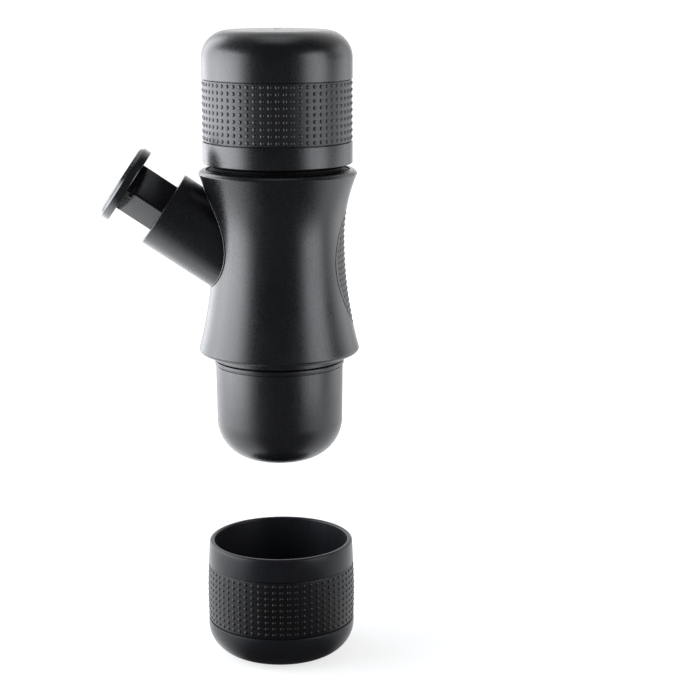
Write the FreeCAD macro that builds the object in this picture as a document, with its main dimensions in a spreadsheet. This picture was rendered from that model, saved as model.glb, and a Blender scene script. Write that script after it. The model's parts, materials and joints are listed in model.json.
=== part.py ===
"""Handheld manual espresso maker with its cup, as a parametric assembly.

Frame: millimetres, +Z up, origin at the middle of the cup's base. The machine's axis is the Z axis.
The pump leaves the casing towards -X and upwards. Pieces on the pump are drawn along their own
local Z axis, and pump_place() turns and lifts them onto the pump's axis.
"""
import FreeCAD, Part
import math
import os

import Sketcher

DOC = FreeCAD.newDocument("HandEspressoMaker")
VECTOR = FreeCAD.Vector
UP = VECTOR(0, 0, 1)
ACROSS_PUMP = VECTOR(0, 1, 0)

# name, millimetres (degrees for angles, plain numbers for counts), what it sets
DRIVING_SIZES = [
    ("cup_height", 47.5, "cup, base to rim"),
    ("air_gap", 34.8, "cup rim to the outlet head when the machine is held above the cup"),
    ("head_height", 40.8, "outlet head, overall"),
    ("head_gap", 0.8, "outlet head to the brew boss's collar"),
    ("collar_height", 2.3, "collar that shows under the casing"),
    ("casing_height", 72.9, "casing, underside to rim"),
    ("tank_gap", 2.5, "shadow gap between casing rim and tank"),
    ("tank_height", 51.6, "tank, shoulder to crown"),
    ("waist_radius", 26.0, "casing at its waist"),
    ("waist_rise", 45.8, "waist above the casing's underside"),
    ("flare_radius", 31.95, "casing at its widest"),
    ("flare_rise", 1.5, "widest circle above the underside"),
    ("foot_inset", 1.5, "flat underside, inside the widest circle"),
    ("foot_round", 1.6, "rounding between wall and underside"),
    ("rim_fall", 1.6, "rim's rounded outer edge below its top"),
    ("rim_ledge", 1.8, "rim's outer edge beyond the tank"),
    ("rim_round", 2.6, "rounding of the rim"),
    ("casing_wall", 2.2, "casing wall"),
    ("arm_rise", 27.2, "pump axis above the casing's underside, at the machine's axis"),
    ("arm_tilt", 33.9, "pump axis above the horizontal, degrees"),
    ("arm_length", 54.3, "machine axis to the arm's mouth, along the pump"),
    ("arm_radius", 15.7, "outside of the arm"),
    ("pad_height", 52.0, "leaf-shaped side grip, tip to tip"),
    ("pad_half_width", 14.2, "side grip, half its width"),
    ("pad_rise", 34.8, "middle of the side grip above the underside"),
    ("pad_depth", 1.2, "side grip, thickness"),
    ("pad_border", 0.3, "groove round the side grip"),
    ("web_rise", 3.0, "screw web above the underside"),
    ("web_height", 3.2, "screw web"),
    ("web_lip", 1.7, "screw web inside the screws' circle"),
    ("tank_radius", 29.4, "outside of the tank"),
    ("tank_wall", 2.4, "tank wall"),
    ("tank_crown_round", 10.8, "rounding of the tank's crown"),
    ("tank_band_rise", 8.4, "tank band above the tank's shoulder"),
    ("tank_band_height", 24.4, "tank band"),
    ("band_depth", 1.15, "grip bands, thickness"),
    ("vent_radius", 1.2, "air vent plug"),
    ("vent_flange", 3.0, "air vent plug's inner flange radius"),
    ("neck_radius", 23.0, "tank neck, root of its thread"),
    ("neck_wall", 2.0, "tank neck wall"),
    ("neck_length", 11.1, "tank neck below the shoulder"),
    ("socket_floor", 2.0, "floor of the tank socket"),
    ("socket_seat", 3.6, "socket flange"),
    ("socket_edge", 1.2, "socket flange inside the tank's outside"),
    ("seal_width", 3.2, "tank seal, across its section"),
    ("thread_lead", 12.0, "travel in one turn, both threads"),
    ("thread_starts", 3, "ridges side by side, both threads"),
    ("thread_rise", 0.9, "thread ridge, root to crest"),
    ("thread_root", 1.8, "thread ridge at its root"),
    ("thread_crest", 0.8, "thread ridge at its crest"),
    ("thread_play", 0.4, "crest to the facing root"),
    ("intake_offset", 9.0, "intake tube from the machine's axis"),
    ("intake_bore", 1.5, "intake spigot bore radius"),
    ("tube_socket", 3.0, "intake tube's end sunk in the valve block"),
    ("intake_radius", 4.2, "intake tube outside radius"),
    ("spigot_radius", 2.6, "intake spigot outside radius"),
    ("spigot_length", 6.0, "intake spigot"),
    ("block_radius", 17.5, "valve block column"),
    ("block_height", 41.3, "valve block, overall"),
    ("block_lip", 0.8, "valve block flange inside the screw web's opening"),
    ("block_flange_height", 3.0, "valve block flange"),
    ("block_face", 12.7, "machine axis to the pump's seat on the block"),
    ("duct_radius", 1.6, "ducts between pump and valves"),
    ("duct_offset", 5.0, "ducts either side of the pump's axis"),
    ("valve_radius", 4.2, "duckbill valve flange"),
    ("valve_flange", 1.2, "duckbill valve flange thickness"),
    ("bill_radius", 2.2, "duckbill at its root"),
    ("bill_tip", 0.73, "duckbill at its tip"),
    ("bill_length", 4.8, "duckbill"),
    ("slit_width", 0.4, "duckbill slit"),
    ("gasket_height", 1.0, "gaskets at the valve block"),
    ("bore_radius", 10.5, "pump bore"),
    ("liner_wall", 2.0, "pump cylinder wall"),
    ("liner_end", 3.5, "pump cylinder end wall"),
    ("bush_length", 4.0, "mouth bush"),
    ("bush_lip", 0.8, "mouth bush lip over the lock groove"),
    ("bush_groove", 2.0, "lock groove along the pump"),
    ("liner_flange", 2.2, "pump cylinder flange under the bush"),
    ("stroke", 15.3, "piston travel, until the knob nears the mouth"),
    ("piston_length", 13.5, "piston head"),
    ("piston_play", 0.3, "piston head to bore"),
    ("spring_pocket", 9.0, "spring pocket in the piston head"),
    ("ring_thickness", 1.6, "piston ring section"),
    ("ring_squeeze_play", 0.05, "piston ring to bore and groove"),
    ("spring_radius", 7.1, "return spring, to the wire's middle"),
    ("wire_radius", 0.5, "return spring wire"),
    ("spring_turns", 8, "return spring turns"),
    ("stem_flats", 14.7, "square stem, across flats"),
    ("stem_corner_radius", 10.1, "square stem, out to its rounded corners"),
    ("bush_play", 0.08, "stem corners to the mouth bush"),
    ("lug_gap", 1.4, "lock lug to the knob"),
    ("lug_height", 1.2, "lock lug along the stem"),
    ("lug_width", 4.2, "lock lug across"),
    ("lug_reach", 1.3, "lock lug beyond the stem's corners"),
    ("pivot_radius", 4.05, "stem pivot in the piston head"),
    ("pivot_play", 0.05, "stem pivot to the piston head"),
    ("clip_groove", 0.8, "clip groove in the stem's pivot, depth"),
    ("clip_opening", 4.0, "gap in the retaining clip"),
    ("clip_height", 0.8, "retaining clip"),
    ("clip_radius", 6.2, "retaining clip outside radius"),
    ("knob_radius", 15.75, "push knob"),
    ("knob_height", 3.8, "push knob without its cap"),
    ("cap_height", 0.9, "knob cap"),
    ("cap_inset", 0.7, "knob cap edge inside the knob's edge"),
    ("edge_round", 0.5, "small edge rounding on the knob"),
    ("collar_step", 0.7, "collar beyond the outlet head's rim"),
    ("head_wall", 1.75, "outlet head wall beside its thread"),
    ("boss_length", 11.3, "brew boss below its collar"),
    ("chamber_step", 0.7, "screen's edge beyond the brew chamber"),
    ("chamber_depth", 4.0, "brew chamber"),
    ("boss_wall", 1.8, "brew boss wall beside the screen"),
    ("screen_thickness", 0.8, "shower screen"),
    ("screen_hole", 0.6, "shower screen hole radius"),
    ("screen_pitch", 4.5, "rings of holes in the screen, apart"),
    ("head_rim_step", 0.45, "outlet head's rim beyond its wall"),
    ("head_rim_height", 1.7, "outlet head rim"),
    ("head_radius", 25.45, "outlet head below the rim"),
    ("head_taper", 0.25, "outlet head, loss of radius down its wall"),
    ("dome_round", 16.5, "rounding of the outlet head's dome"),
    ("dome_wall", 2.0, "outlet head dome wall"),
    ("ledge_width", 1.8, "basket ledge under the basket's flange"),
    ("ledge_height", 2.2, "basket ledge"),
    ("basket_radius", 18.3, "filter basket cup"),
    ("basket_wall", 0.7, "filter basket sheet"),
    ("basket_depth", 18.0, "filter basket, overall"),
    ("basket_play", 1.5, "filter basket's flange to the outlet head's bore"),
    ("basket_hole", 0.5, "filter basket hole radius"),
    ("basket_pitch", 3.2, "rings of holes in the basket, apart"),
    ("basket_gasket_height", 2.0, "basket gasket"),
    ("nozzle_radius", 5.0, "outlet nozzle"),
    ("nozzle_bore", 1.6, "outlet nozzle bore radius"),
    ("nozzle_flange", 7.0, "outlet nozzle flange radius"),
    ("cup_radius", 29.65, "cup at the top of its band"),
    ("cup_low_radius", 29.8, "cup at the foot of its band"),
    ("cup_base_radius", 18.5, "cup base"),
    ("cup_round", 12.5, "rounding of the cup's foot"),
    ("cup_bore", 27.1, "inside of the cup"),
    ("cup_floor", 3.0, "cup floor"),
    ("cup_band_rise", 14.1, "cup band above the base"),
    ("cup_band_height", 24.2, "cup band"),
    ("cup_band_bulge", 220.0, "radius of the cup band's slight bulge"),
    ("cup_rim_radius", 29.1, "cup under its lip"),
    ("lip_round", 1.2, "outer rounding of the cup's lip"),
    ("screw_edge", 2.3, "collar screws from the collar's edge"),
    ("screw_count", 4, "collar screws"),
    ("screw_radius", 0.95, "collar screw shank"),
    ("screw_head", 1.75, "collar screw head radius"),
    ("screw_head_height", 1.4, "collar screw head"),
    ("block_screw_circle", 14.0, "valve block screws from the axis"),
    ("block_screw_grip", 6.0, "valve block screws, reach into the block"),
    ("block_screw_count", 3, "valve block screws"),
    ("big_screw_radius", 1.25, "valve block and pump screw shanks"),
    ("big_screw_head", 2.2, "valve block and pump screw head radius"),
    ("big_head_height", 1.5, "valve block and pump screw heads"),
    ("pump_screw_grip", 8.5, "pump screws, reach into the block"),
    ("pump_screw_offset", 6.8, "pump screws from the pump's axis"),
    ("knob_screw_radius", 2.0, "knob screw shank"),
    ("knob_screw_head", 3.5, "knob screw head radius"),
    ("knob_screw_length", 12.0, "knob screw shank length"),
    ("knob_seat", 1.9, "knob screw's seat above the knob's underside"),
    ("snug", 0.1, "assembled pieces that don't move, side to side"),
    ("running_gap", 0.3, "moving pieces that pass each other"),
]


class Size:
    """A number together with the spreadsheet expression that gives it."""

    def __init__(self, value, text):
        self.value = float(value)
        self.text = text

    def __add__(self, other):
        other = as_size(other)
        return Size(self.value + other.value, f"({self.text} + {other.text})")

    def __sub__(self, other):
        other = as_size(other)
        return Size(self.value - other.value, f"({self.text} - {other.text})")

    def __mul__(self, other):
        other = as_size(other)
        return Size(self.value * other.value, f"({self.text} * {other.text})")

    def __truediv__(self, other):
        other = as_size(other)
        return Size(self.value / other.value, f"({self.text} / {other.text})")

    def __neg__(self):
        return Size(-self.value, f"(0 - {self.text})")


def as_size(number):
    """A Size as it is, or a plain number as a Size."""
    return number if isinstance(number, Size) else Size(number, repr(number))


def root(square):
    return Size(math.sqrt(square.value), f"sqrt({square.text})")


def cosine(angle):
    return Size(math.cos(math.radians(angle.value)), f"cos({angle.text})")


def sine(angle):
    return Size(math.sin(math.radians(angle.value)), f"sin({angle.text})")


def write_sheet():
    """Puts the driving sizes in the spreadsheet, and returns them by name."""
    sheet = DOC.addObject("Spreadsheet::Sheet", "Sizes")
    sizes = {}
    for row, (name, value, note) in enumerate(DRIVING_SIZES, start=1):
        sheet.set(f"A{row}", name)
        sheet.set(f"B{row}", str(value))
        sheet.set(f"C{row}", note)
        sheet.setAlias(f"B{row}", name)
        sizes[name] = Size(value, f"Sizes.{name}")
    DOC.recompute()
    return sizes


S = write_sheet()

# Levels up the machine's axis
HEAD_FOOT = S["cup_height"] + S["air_gap"]
HEAD_TOP = HEAD_FOOT + S["head_height"]
COLLAR_FOOT = HEAD_TOP + S["head_gap"]
CASING_FOOT = COLLAR_FOOT + S["collar_height"]
CASING_TOP = CASING_FOOT + S["casing_height"]
TANK_FOOT = CASING_TOP + S["tank_gap"]
TANK_TOP = TANK_FOOT + S["tank_height"]
WAIST = CASING_FOOT + S["waist_rise"]
WEB_FOOT = CASING_FOOT + S["web_rise"]
WEB_TOP = WEB_FOOT + S["web_height"]
BOSS_FOOT = COLLAR_FOOT - S["boss_length"]
NECK_FOOT = TANK_FOOT - S["neck_length"]
SOCKET_TOP = CASING_TOP - S["thread_play"]
SOCKET_SEAT = SOCKET_TOP - S["socket_seat"]
SOCKET_INSIDE = NECK_FOOT - S["running_gap"] * 2
SOCKET_FOOT = SOCKET_INSIDE - S["socket_floor"]
BLOCK_TOP = WEB_FOOT + S["block_height"]
ARM_HEIGHT = CASING_FOOT + S["arm_rise"]

# Radii that follow from what they pass or line up with
RIM_RADIUS = S["tank_radius"] + S["rim_ledge"]
SOCKET_FLANGE = S["tank_radius"] - S["socket_edge"]
SOCKET_BORE = S["neck_radius"] + S["thread_rise"] + S["thread_play"]
HEAD_RIM = S["head_radius"] + S["head_rim_step"]
HEAD_BORE = S["head_radius"] - S["head_wall"]
BOSS_RADIUS = HEAD_BORE - S["thread_rise"] - S["thread_play"]
COLLAR_RADIUS = HEAD_RIM + S["collar_step"]
SCREW_CIRCLE = COLLAR_RADIUS - S["screw_edge"]
WEB_BORE = SCREW_CIRCLE - S["web_lip"]
BLOCK_FLANGE = WEB_BORE - S["block_lip"]
SCREEN_SEAT = BOSS_RADIUS - S["boss_wall"]
SCREEN_RADIUS = SCREEN_SEAT - S["snug"] * 2
CHAMBER_RADIUS = SCREEN_RADIUS - S["chamber_step"]
BASKET_FLANGE = HEAD_BORE - S["basket_play"]
LEDGE_REACH = BASKET_FLANGE - S["ledge_width"]
BUSH_BORE = S["stem_corner_radius"] + S["bush_play"]
LINER_RADIUS = S["bore_radius"] + S["liner_wall"]
ARM_BORE = S["arm_radius"] - S["casing_wall"]

# Stations along the pump, from the machine's axis
MOUTH = S["arm_length"]
BUSH_FOOT = MOUTH - S["bush_length"]
PISTON_TOP = BUSH_FOOT - S["running_gap"]
PISTON_FOOT = PISTON_TOP - S["piston_length"]
SPRING_SEAT = PISTON_FOOT + S["spring_pocket"]
LINER_SEAT = S["block_face"] + S["gasket_height"]
LINER_INSIDE = LINER_SEAT + S["liner_end"]
KNOB_FOOT = MOUTH + S["stroke"] + S["running_gap"]
KNOB_TOP = KNOB_FOOT + S["knob_height"]


# ---------------------------------------------------------------- drawing tools

def new_body(label):
    body = DOC.addObject("PartDesign::Body", label)
    body.Label = label
    return body


def origin_feature(body, role):
    return next(part for part in body.Origin.OriginFeatures if part.Role == role)


def new_sketch(body, name, plane="XY_Plane", height=None):
    """A sketch on one of the body's own planes, lifted to a height above it."""
    sketch = body.newObject("Sketcher::SketchObject", name)
    sketch.AttachmentSupport = (origin_feature(body, plane), [""])
    sketch.MapMode = "FlatFace"
    if height is not None:
        sketch.AttachmentOffset = FreeCAD.Placement(UP * height.value, FreeCAD.Rotation())
        sketch.setExpression("AttachmentOffset.Base.z", height.text)
    return sketch


def tilt_sketch(sketch, station):
    """Sets a sketch square across the pump's axis, at a station along it."""
    shift = station * cosine(S["arm_tilt"])
    lift = ARM_HEIGHT + station * sine(S["arm_tilt"])
    turn = S["arm_tilt"] - 90
    sketch.AttachmentOffset = FreeCAD.Placement(
        VECTOR(-shift.value, 0, lift.value), FreeCAD.Rotation(ACROSS_PUMP, turn.value))
    sketch.setExpression("AttachmentOffset.Base.x", (-shift).text)
    sketch.setExpression("AttachmentOffset.Base.z", lift.text)
    sketch.setExpression("AttachmentOffset.Rotation.Angle", turn.text)


def pump_place(body):
    """Carries a body from its local Z axis onto the pump's axis."""
    turn = S["arm_tilt"] - 90
    body.Placement = FreeCAD.Placement(
        UP * ARM_HEIGHT.value, FreeCAD.Rotation(ACROSS_PUMP, turn.value))
    body.setExpression("Placement.Base.z", ARM_HEIGHT.text)
    body.setExpression("Placement.Rotation.Angle", turn.text)
    return body


def pin(sketch, edge, end, across, up):
    """Holds one end of an edge at its distances from the sketch's origin."""
    for kind, place, axis in (("DistanceX", across, -2), ("DistanceY", up, -1)):
        if place.value == 0:
            sketch.addConstraint(Sketcher.Constraint("PointOnObject", edge, end, axis))
        else:
            row = sketch.addConstraint(
                Sketcher.Constraint(kind, -1, 1, edge, end, place.value))
            sketch.setExpression(f"Constraints[{row}]", place.text)


def arc_centre(start, stop, bend):
    """Centre of the shorter arc, on the left of the way from start to stop where bend is positive."""
    chord = stop - start
    reach = math.sqrt(max(bend ** 2 - (chord.Length / 2) ** 2, 0.0))
    left = VECTOR(-chord.y, chord.x, 0).normalize()
    return (start + stop) * 0.5 + left * math.copysign(reach, bend)


def draw_outline(sketch, corners):
    """Draws a closed outline. A corner is (across, up), or (across, up, bend) where the edge that
    leaves it is an arc: its radius, positive where the arc turns left."""
    corners = [tuple(as_size(item) for item in corner) for corner in corners]
    points = [VECTOR(corner[0].value, corner[1].value, 0) for corner in corners]
    ends = []
    for index, corner in enumerate(corners):
        start, stop = points[index], points[(index + 1) % len(points)]
        if len(corner) == 2:
            edge = sketch.addGeometry(Part.LineSegment(start, stop), False)
            ends.append((edge, 1, 2))
            continue
        bend = corner[2]
        centre = arc_centre(start, stop, bend.value)
        first, last = (start, stop) if bend.value > 0 else (stop, start)
        angles = [math.atan2(p.y - centre.y, p.x - centre.x) for p in (first, last)]
        circle = Part.Circle(centre, UP, abs(bend.value))
        edge = sketch.addGeometry(Part.ArcOfCircle(circle, *angles), False)
        row = sketch.addConstraint(Sketcher.Constraint("Radius", edge, abs(bend.value)))
        sketch.setExpression(f"Constraints[{row}]", f"abs({bend.text})")
        ends.append((edge, 1, 2) if bend.value > 0 else (edge, 2, 1))
    for index, (edge, start, stop) in enumerate(ends):
        next_edge, next_start, _ = ends[(index + 1) % len(ends)]
        sketch.addConstraint(
            Sketcher.Constraint("Coincident", edge, stop, next_edge, next_start))
        pin(sketch, edge, start, corners[index][0], corners[index][1])


def draw_circle(sketch, radius, across=0, up=0):
    radius, across, up = as_size(radius), as_size(across), as_size(up)
    middle = VECTOR(across.value, up.value, 0)
    edge = sketch.addGeometry(Part.Circle(middle, UP, radius.value), False)
    row = sketch.addConstraint(Sketcher.Constraint("Radius", edge, radius.value))
    sketch.setExpression(f"Constraints[{row}]", radius.text)
    pin(sketch, edge, 3, across, up)


def settle(body, feature):
    """Makes a feature the body's last one and recomputes it."""
    body.Tip = feature
    DOC.recompute()
    return feature


def need_cut(body, before):
    """A cut that takes nothing away points the wrong way."""
    if body.Shape.Volume >= before - 1e-6:
        raise RuntimeError(f"{body.Label}: a cut removed nothing")


def revolve(body, name, corners):
    """Turns an outline, drawn as radius and height, about the Z axis."""
    sketch = new_sketch(body, name + "Outline", "XZ_Plane")
    draw_outline(sketch, corners)
    feature = body.newObject("PartDesign::Revolution", name)
    feature.Profile = sketch
    feature.ReferenceAxis = (sketch, ["V_Axis"])
    feature.Angle = 360
    return settle(body, feature)


def groove(body, name, corners):
    """Cuts an outline, drawn as radius and height, all round the Z axis."""
    before = body.Shape.Volume
    sketch = new_sketch(body, name + "Outline", "XZ_Plane")
    draw_outline(sketch, corners)
    feature = body.newObject("PartDesign::Groove", name)
    feature.Profile = sketch
    feature.ReferenceAxis = (sketch, ["V_Axis"])
    feature.Angle = 360
    settle(body, feature)
    need_cut(body, before)
    return feature


def pad(body, name, sketch, length):
    """Grows a sketch along its normal."""
    feature = body.newObject("PartDesign::Pad", name)
    feature.Profile = sketch
    feature.setExpression("Length", length.text)
    return settle(body, feature)


def cut(body, name, sketch, length):
    """Cuts along the sketch's normal."""
    before = body.Shape.Volume
    feature = body.newObject("PartDesign::Pocket", name)
    feature.Profile = sketch
    feature.Reversed = True
    feature.setExpression("Length", length.text)
    settle(body, feature)
    need_cut(body, before)
    return feature


def polar(body, name, features, count):
    """Repeats features evenly about the Z axis."""
    pattern = body.newObject("PartDesign::PolarPattern", name)
    pattern.Originals = features
    pattern.Axis = (origin_feature(body, "Z_Axis"), [""])
    pattern.Angle = 360
    pattern.setExpression("Occurrences", as_size(count).text)
    return settle(body, pattern)


def drill(body, name, radius, foot, length, across=0, up=0):
    """A round hole that starts at a height and runs upwards."""
    sketch = new_sketch(body, name + "Circle", height=foot)
    draw_circle(sketch, radius, across, up)
    return cut(body, name, sketch, length)


def add_ridges(body, name, wall, direction, start, rise):
    """Helical ridges on a wall: outwards where direction is 1, inwards where it is -1."""
    root_half = S["thread_root"] / 2
    crest_half = S["thread_crest"] / 2
    sunk = wall - S["snug"] * direction * 2
    crest = wall + S["thread_rise"] * direction
    sketch = new_sketch(body, name + "Section", "XZ_Plane")
    draw_outline(sketch, [
        (sunk, start - root_half),
        (crest, start - crest_half),
        (crest, start + crest_half),
        (sunk, start + root_half),
    ])
    ridge = body.newObject("PartDesign::AdditiveHelix", name)
    ridge.Profile = sketch
    ridge.ReferenceAxis = (sketch, ["V_Axis"])
    ridge.Mode = "pitch-height-angle"
    ridge.setExpression("Pitch", S["thread_lead"].text)
    ridge.setExpression("Height", rise.text)
    settle(body, ridge)
    return polar(body, name + "s", [ridge], S["thread_starts"])


# ---------------------------------------------------------------- casing

def casing_rise(drop):
    """Gain of the casing's radius at a drop below the waist."""
    gain = S["flare_radius"] - S["waist_radius"]
    fall = S["waist_rise"] - S["flare_rise"]
    radius = (gain * gain + fall * fall) / (gain * 2)
    return radius - root(radius * radius - drop * drop), radius


def casing_spread(climb):
    """Gain of the casing's radius at a climb above the waist."""
    gain = RIM_RADIUS - S["waist_radius"]
    rise = S["casing_height"] - S["waist_rise"] - S["rim_fall"]
    radius = (gain * gain + rise * rise) / (gain * 2)
    return radius - root(radius * radius - climb * climb), radius


def casing_outline(depth):
    """Corners up the casing's flank, set inwards by a depth."""
    lower_bend = casing_rise(S["web_height"])[1]
    upper_bend = casing_spread(S["web_height"])[1]
    return [
        (S["flare_radius"] - depth, CASING_FOOT + S["flare_rise"], -lower_bend),
        (S["waist_radius"] - depth, WAIST, -upper_bend),
        (RIM_RADIUS - depth, CASING_TOP - S["rim_fall"]),
    ]


def draw_leaf(sketch, shrink):
    """Pointed oval in the YZ plane."""
    half_height = S["pad_height"] / 2 - shrink * 2
    half_width = S["pad_half_width"] - shrink
    bend = (half_height * half_height + half_width * half_width) / (half_width * 2)
    middle = CASING_FOOT + S["pad_rise"]
    draw_outline(sketch, [(0, middle - half_height, bend), (0, middle + half_height, bend)])


def leaf_skin(label, shrink):
    """The casing's outer skin inside the leaf outline, on the +X side."""
    skin = new_body(label + "_skin")
    flank = casing_outline(as_size(0))
    inner = casing_outline(S["pad_depth"])
    flank[-1] = flank[-1][:2]
    back = [
        (inner[2][0], inner[2][1], -inner[1][2]),
        (inner[1][0], inner[1][1], -inner[0][2]),
        inner[0][:2],
    ]
    revolve(skin, label + "Skin", flank + back)
    prism = new_body(label + "_prism")
    sketch = new_sketch(prism, label + "Leaf", "YZ_Plane")
    draw_leaf(sketch, shrink)
    pad(prism, label + "Prism", sketch, S["flare_radius"] + RIM_RADIUS)
    common = DOC.addObject("Part::MultiCommon", label)
    common.Label = label
    common.Shapes = [skin, prism]
    DOC.recompute()
    return common


def socket_pocket():
    """Radius and foot of the straight pocket that takes the tank socket."""
    climb = SOCKET_FOOT - WAIST
    return S["waist_radius"] - S["casing_wall"] + casing_spread(climb)[0], climb


def make_main_shell():
    """Waisted casing in one moulding with the pump's arm, hollow inside, with a screw web low down."""
    body = new_body("casing_moulding")
    foot_radius = S["flare_radius"] - S["foot_inset"]
    outside = [(0, CASING_FOOT), (foot_radius, CASING_FOOT, S["foot_round"])]
    outside += casing_outline(as_size(0))[:2]
    outside += [
        (RIM_RADIUS, CASING_TOP - S["rim_fall"], S["rim_round"]),
        (S["tank_radius"], CASING_TOP),
        (0, CASING_TOP),
    ]
    revolve(body, "CasingOutside", outside)

    arm = new_sketch(body, "ArmCircle")
    tilt_sketch(arm, as_size(0))
    draw_circle(arm, S["arm_radius"])
    pad(body, "Arm", arm, MOUTH)

    lower_rise, lower_bend = casing_rise(WAIST - WEB_TOP)
    upper_bend = casing_spread(S["web_height"])[1]
    pocket_radius, climb = socket_pocket()
    inner_waist = S["waist_radius"] - S["casing_wall"]
    flange_bore = SOCKET_FLANGE + S["snug"] * 2
    groove(body, "CasingInside", [
        (0, CASING_FOOT),
        (COLLAR_RADIUS + S["snug"] * 2, CASING_FOOT),
        (COLLAR_RADIUS + S["snug"] * 2, WEB_FOOT),
        (WEB_BORE, WEB_FOOT),
        (WEB_BORE, WEB_TOP),
        (inner_waist + lower_rise, WEB_TOP, -lower_bend),
        (inner_waist, WAIST, -upper_bend),
        (pocket_radius, WAIST + climb),
        (pocket_radius, SOCKET_SEAT),
        (flange_bore, SOCKET_SEAT),
        (flange_bore, CASING_TOP),
        (0, CASING_TOP),
    ])

    bore = new_sketch(body, "ArmBoreCircle")
    tilt_sketch(bore, S["block_face"])
    draw_circle(bore, ARM_BORE)
    cut(body, "ArmBore", bore, MOUTH - S["block_face"] + 1)

    pilot = drill(body, "WebPilot", S["screw_radius"], WEB_FOOT, S["web_height"],
                  across=SCREW_CIRCLE)
    polar(body, "WebPilots", [pilot], S["screw_count"])

    shell = DOC.addObject("Part::Cut", "main_shell")
    shell.Label = "main_shell"
    shell.Base = body
    shell.Tool = leaf_skin("pad_recess", as_size(0))
    DOC.recompute()
    return shell


def make_side_grip_pad():
    """Rubber leaf let into the casing opposite the pump."""
    return leaf_skin("side_grip_pad", S["pad_border"])


# ---------------------------------------------------------------- water tank

def make_water_tank():
    """Domed tank, closed on top, with a threaded neck under its shoulder."""
    body = new_body("water_tank")
    radius, wall = S["tank_radius"], S["tank_wall"]
    flat = radius - S["tank_crown_round"]
    crown_foot = TANK_TOP - S["tank_crown_round"]
    band_foot = TANK_FOOT + S["tank_band_rise"]
    band_top = band_foot + S["tank_band_height"]
    neck_bore = S["neck_radius"] - S["neck_wall"]
    revolve(body, "TankWall", [
        (0, TANK_TOP),
        (0, TANK_TOP - wall),
        (flat, TANK_TOP - wall, wall - S["tank_crown_round"]),
        (radius - wall, crown_foot),
        (radius - wall, TANK_FOOT + wall),
        (neck_bore, TANK_FOOT + wall),
        (neck_bore, NECK_FOOT),
        (S["neck_radius"], NECK_FOOT),
        (S["neck_radius"], TANK_FOOT),
        (radius, TANK_FOOT),
        (radius, band_foot),
        (radius - S["band_depth"], band_foot),
        (radius - S["band_depth"], band_top),
        (radius, band_top),
        (radius, crown_foot, S["tank_crown_round"]),
        (flat, TANK_TOP),
    ])
    add_ridges(body, "NeckRidge", S["neck_radius"], 1,
               NECK_FOOT + S["thread_root"], SOCKET_SEAT - NECK_FOOT)
    drill(body, "VentHole", S["vent_radius"] + S["snug"] / 2, TANK_TOP - wall * 2, wall * 2)
    return body


def make_tank_grip_band():
    """Rubber band let into the tank wall."""
    body = new_body("tank_grip_band")
    foot = TANK_FOOT + S["tank_band_rise"] + S["snug"]
    top = TANK_FOOT + S["tank_band_rise"] + S["tank_band_height"] - S["snug"]
    inner = S["tank_radius"] - S["band_depth"] + S["snug"] / 2
    revolve(body, "TankBand", [
        (inner, foot),
        (S["tank_radius"], foot),
        (S["tank_radius"], top),
        (inner, top),
    ])
    return body


def make_air_vent_valve():
    """Plug with an inner flange, which lets air in as the tank empties."""
    body = new_body("air_vent_valve")
    under = TANK_TOP - S["tank_wall"]
    flange = S["vent_flange"]
    revolve(body, "VentPlug", [
        (0, under - S["valve_flange"]),
        (flange, under - S["valve_flange"]),
        (flange, under),
        (S["vent_radius"], under),
        (S["vent_radius"], TANK_TOP - S["snug"]),
        (0, TANK_TOP - S["snug"]),
    ])
    return body


def make_tank_seal():
    """Flat seal round the neck, between the tank's shoulder and the socket."""
    body = new_body("tank_seal")
    inner = S["neck_radius"] + S["running_gap"]
    foot = SOCKET_TOP + S["running_gap"] / 2
    revolve(body, "SealRing", [
        (inner, foot),
        (inner + S["seal_width"], foot),
        (inner + S["seal_width"], TANK_FOOT),
        (inner, TANK_FOOT),
    ])
    return body


def make_tank_socket():
    """Threaded cup in the top of the casing, with the intake spigot under its floor."""
    body = new_body("tank_socket")
    outer = socket_pocket()[0] - S["snug"] * 2
    revolve(body, "SocketWall", [
        (0, SOCKET_FOOT),
        (outer, SOCKET_FOOT),
        (outer, SOCKET_SEAT),
        (SOCKET_FLANGE, SOCKET_SEAT),
        (SOCKET_FLANGE, SOCKET_TOP),
        (SOCKET_BORE, SOCKET_TOP),
        (SOCKET_BORE, SOCKET_INSIDE),
        (0, SOCKET_INSIDE),
    ])
    half_pitch = S["thread_lead"] / S["thread_starts"] / 2
    ridge_start = NECK_FOOT + S["thread_root"] + half_pitch
    add_ridges(body, "SocketRidge", SOCKET_BORE, -1, ridge_start, S["thread_root"])
    spigot = new_sketch(body, "SpigotCircle", height=SOCKET_FOOT - S["spigot_length"])
    draw_circle(spigot, S["spigot_radius"], S["intake_offset"])
    pad(body, "Spigot", spigot, S["spigot_length"] + S["snug"])
    drill(body, "IntakeHole", S["intake_bore"], SOCKET_FOOT - S["spigot_length"],
          S["spigot_length"] + S["socket_floor"] + S["snug"], S["intake_offset"])
    return body


# ---------------------------------------------------------------- valve block

def valve_pocket_depth():
    """Depth of the pocket for a duckbill valve and the tube's end above it."""
    return S["valve_flange"] + S["snug"] * 2


def make_intake_tube():
    """Silicone tube from the socket's spigot down to the valve block."""
    body = new_body("intake_tube")
    foot = BLOCK_TOP - S["tube_socket"]
    top = SOCKET_FOOT - S["snug"]
    inner = S["spigot_radius"] + S["snug"] / 2
    revolve(body, "TubeWall", [
        (inner, foot),
        (S["intake_radius"], foot),
        (S["intake_radius"], top),
        (inner, top),
    ])
    body.Placement.Base.x = S["intake_offset"].value
    body.setExpression("Placement.Base.x", S["intake_offset"].text)
    return body


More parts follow.
